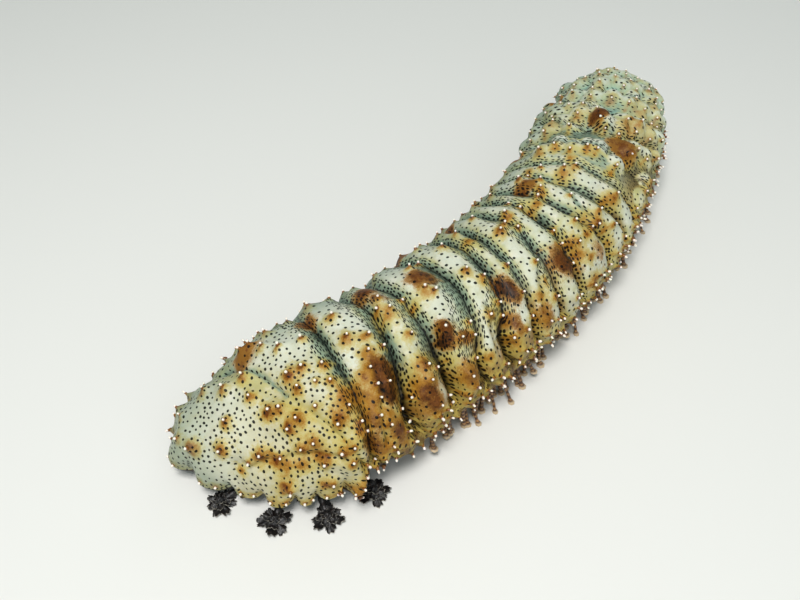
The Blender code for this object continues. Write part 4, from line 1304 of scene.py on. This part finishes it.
def addFeet():
    template = ringedTemplate(feet["rings"], feet["sides"])
    matrices, tones = [], []

    def stand(root, floor, wide):
        # sheared, so that the sucker lies flat and the column leans
        lean = (root - floor) / (feet["height"] * mm)
        matrix = Matrix.Identity(4)
        matrix[0][0] = matrix[1][1] = wide
        matrix[0][2], matrix[1][2], matrix[2][2] = lean
        matrix.translation = floor
        matrices.append(matrix)
        tones.append(random.random())

    for side in (-1, 1):
        for angle, share, spacing in feet["flankRows"]:
            for s in np.arange(feet["from"], feet["to"], spacing):
                s = (s + random.uniform(-1.8, 1.8)) * mm
                row, column = nearestPlace(s, side * (angle + random.uniform(-2, 2)))
                root = Vector(skinPoints[row, column])
                wide = float(profileAt(s)[0]) * side * share
                floor = beside(s, wide * random.uniform(0.86, 1.06)) + shifted(2.4, 1.6)
                root.z += 0.6 * mm
                if random.random() < feet["drawnIn"]:
                    floor = root.lerp(floor, random.uniform(0.40, 0.75))
                stand(root, floor, random.uniform(0.9, 1.55))
        for share, spacing in feet["soleRows"]:
            for s in np.arange(feet["from"] + 3, feet["to"] - 3, spacing):
                s = (s + random.uniform(-1.2, 1.2)) * mm
                wide = float(profileAt(s)[0]) * side * share
                floor = beside(s, wide * random.uniform(0.9, 1.1))
                root = floor + shifted(0.5, 0.5)
                root.z = sole["level"] + 0.5 * mm
                stand(root, floor, random.uniform(0.75, 1.0))
    piece = strew("tubeFeet", template, matrices, {"tone": tones})
    n = Nodes("footSkin")
    share = n.read("share")
    bands = n.math("SINE", n.plus(n.times(share, 34), n.times(n.noise(700, 2), 4)))
    column = n.mix(n.spread(bands, -0.2, 0.7), rgb(74, 38, 18), rgb(176, 132, 84))
    column = n.mix(n.times(n.read("tone"), 0.5), column, rgb(58, 34, 20))
    colour = n.mix(n.spread(share, 0.06, 0.12), rgb(196, 172, 138), column)
    normal = n.bump(n.noise(1500, 3), 0.0002, 0.5)
    piece.data.materials.append(n.finish(colour=colour, normal=normal, roughness=0.4))
    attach(piece, "root")
    print("tube feet", len(matrices), len(piece.data.polygons))


addFeet()

# Floor, light and camera
studio = {
    "floor": rgb(222, 221, 217),
    "air": (0.72, 0.86, 0.86, 1), "airStrength": 0.31,
    "aim": (0.02, 0, 0.03),
    "lights": {  # place, size, power and colour
        "key": ((0.44, 0.16, 1.05), 0.34, 11.8, (1.0, 0.99, 0.97)),
        "fill": ((0.5, 1.1, 0.8), 1.2, 3, (0.94, 0.98, 1.0)),
        "back": ((-1.1, -0.2, 0.9), 0.9, 1.6, (0.90, 0.99, 1.0)),
    },
    "camera": (0.2761, 0.1587, 0.345),
    "cameraForward": (-0.790, -0.613),
    "cameraPitch": 48,
    "lens": 40,
}


def addStudio():
    scene = bpy.context.scene
    bpy.ops.object.select_all(action="DESELECT")
    bpy.ops.mesh.primitive_plane_add(size=6, location=(0, 0, 0))
    floor = bpy.context.object
    floor.name = "floor"
    floor.data.materials.append(Nodes("paleFloor").finish(colour=studio["floor"], roughness=0.8))

    scene.world = scene.world or bpy.data.worlds.new("studio")
    scene.world.use_nodes = True
    background = scene.world.node_tree.nodes["Background"]
    background.inputs["Color"].default_value = studio["air"]
    background.inputs["Strength"].default_value = studio["airStrength"]
    scene.view_settings.view_transform = "Standard"

    for name, (place, size, power, colour) in studio["lights"].items():
        bpy.ops.object.light_add(type="AREA", location=place)
        light = bpy.context.object
        light.name = name + "Light"
        light.data.size = size
        light.data.energy = power
        light.data.color = colour
        way = Vector(studio["aim"]) - Vector(place)
        light.rotation_euler = way.to_track_quat("-Z", "Y").to_euler()

    bpy.ops.object.camera_add(location=studio["camera"])
    camera = bpy.context.object
    pitch = math.radians(studio["cameraPitch"])
    x, y = studio["cameraForward"]
    look = Vector((x * math.cos(pitch), y * math.cos(pitch), -math.sin(pitch)))
    camera.rotation_euler = look.to_track_quat("-Z", "Y").to_euler()
    camera.data.lens = studio["lens"]
    camera.data.sensor_width = 36
    camera.data.clip_start = 0.01
    scene.camera = camera


addStudio()
print("studio set")
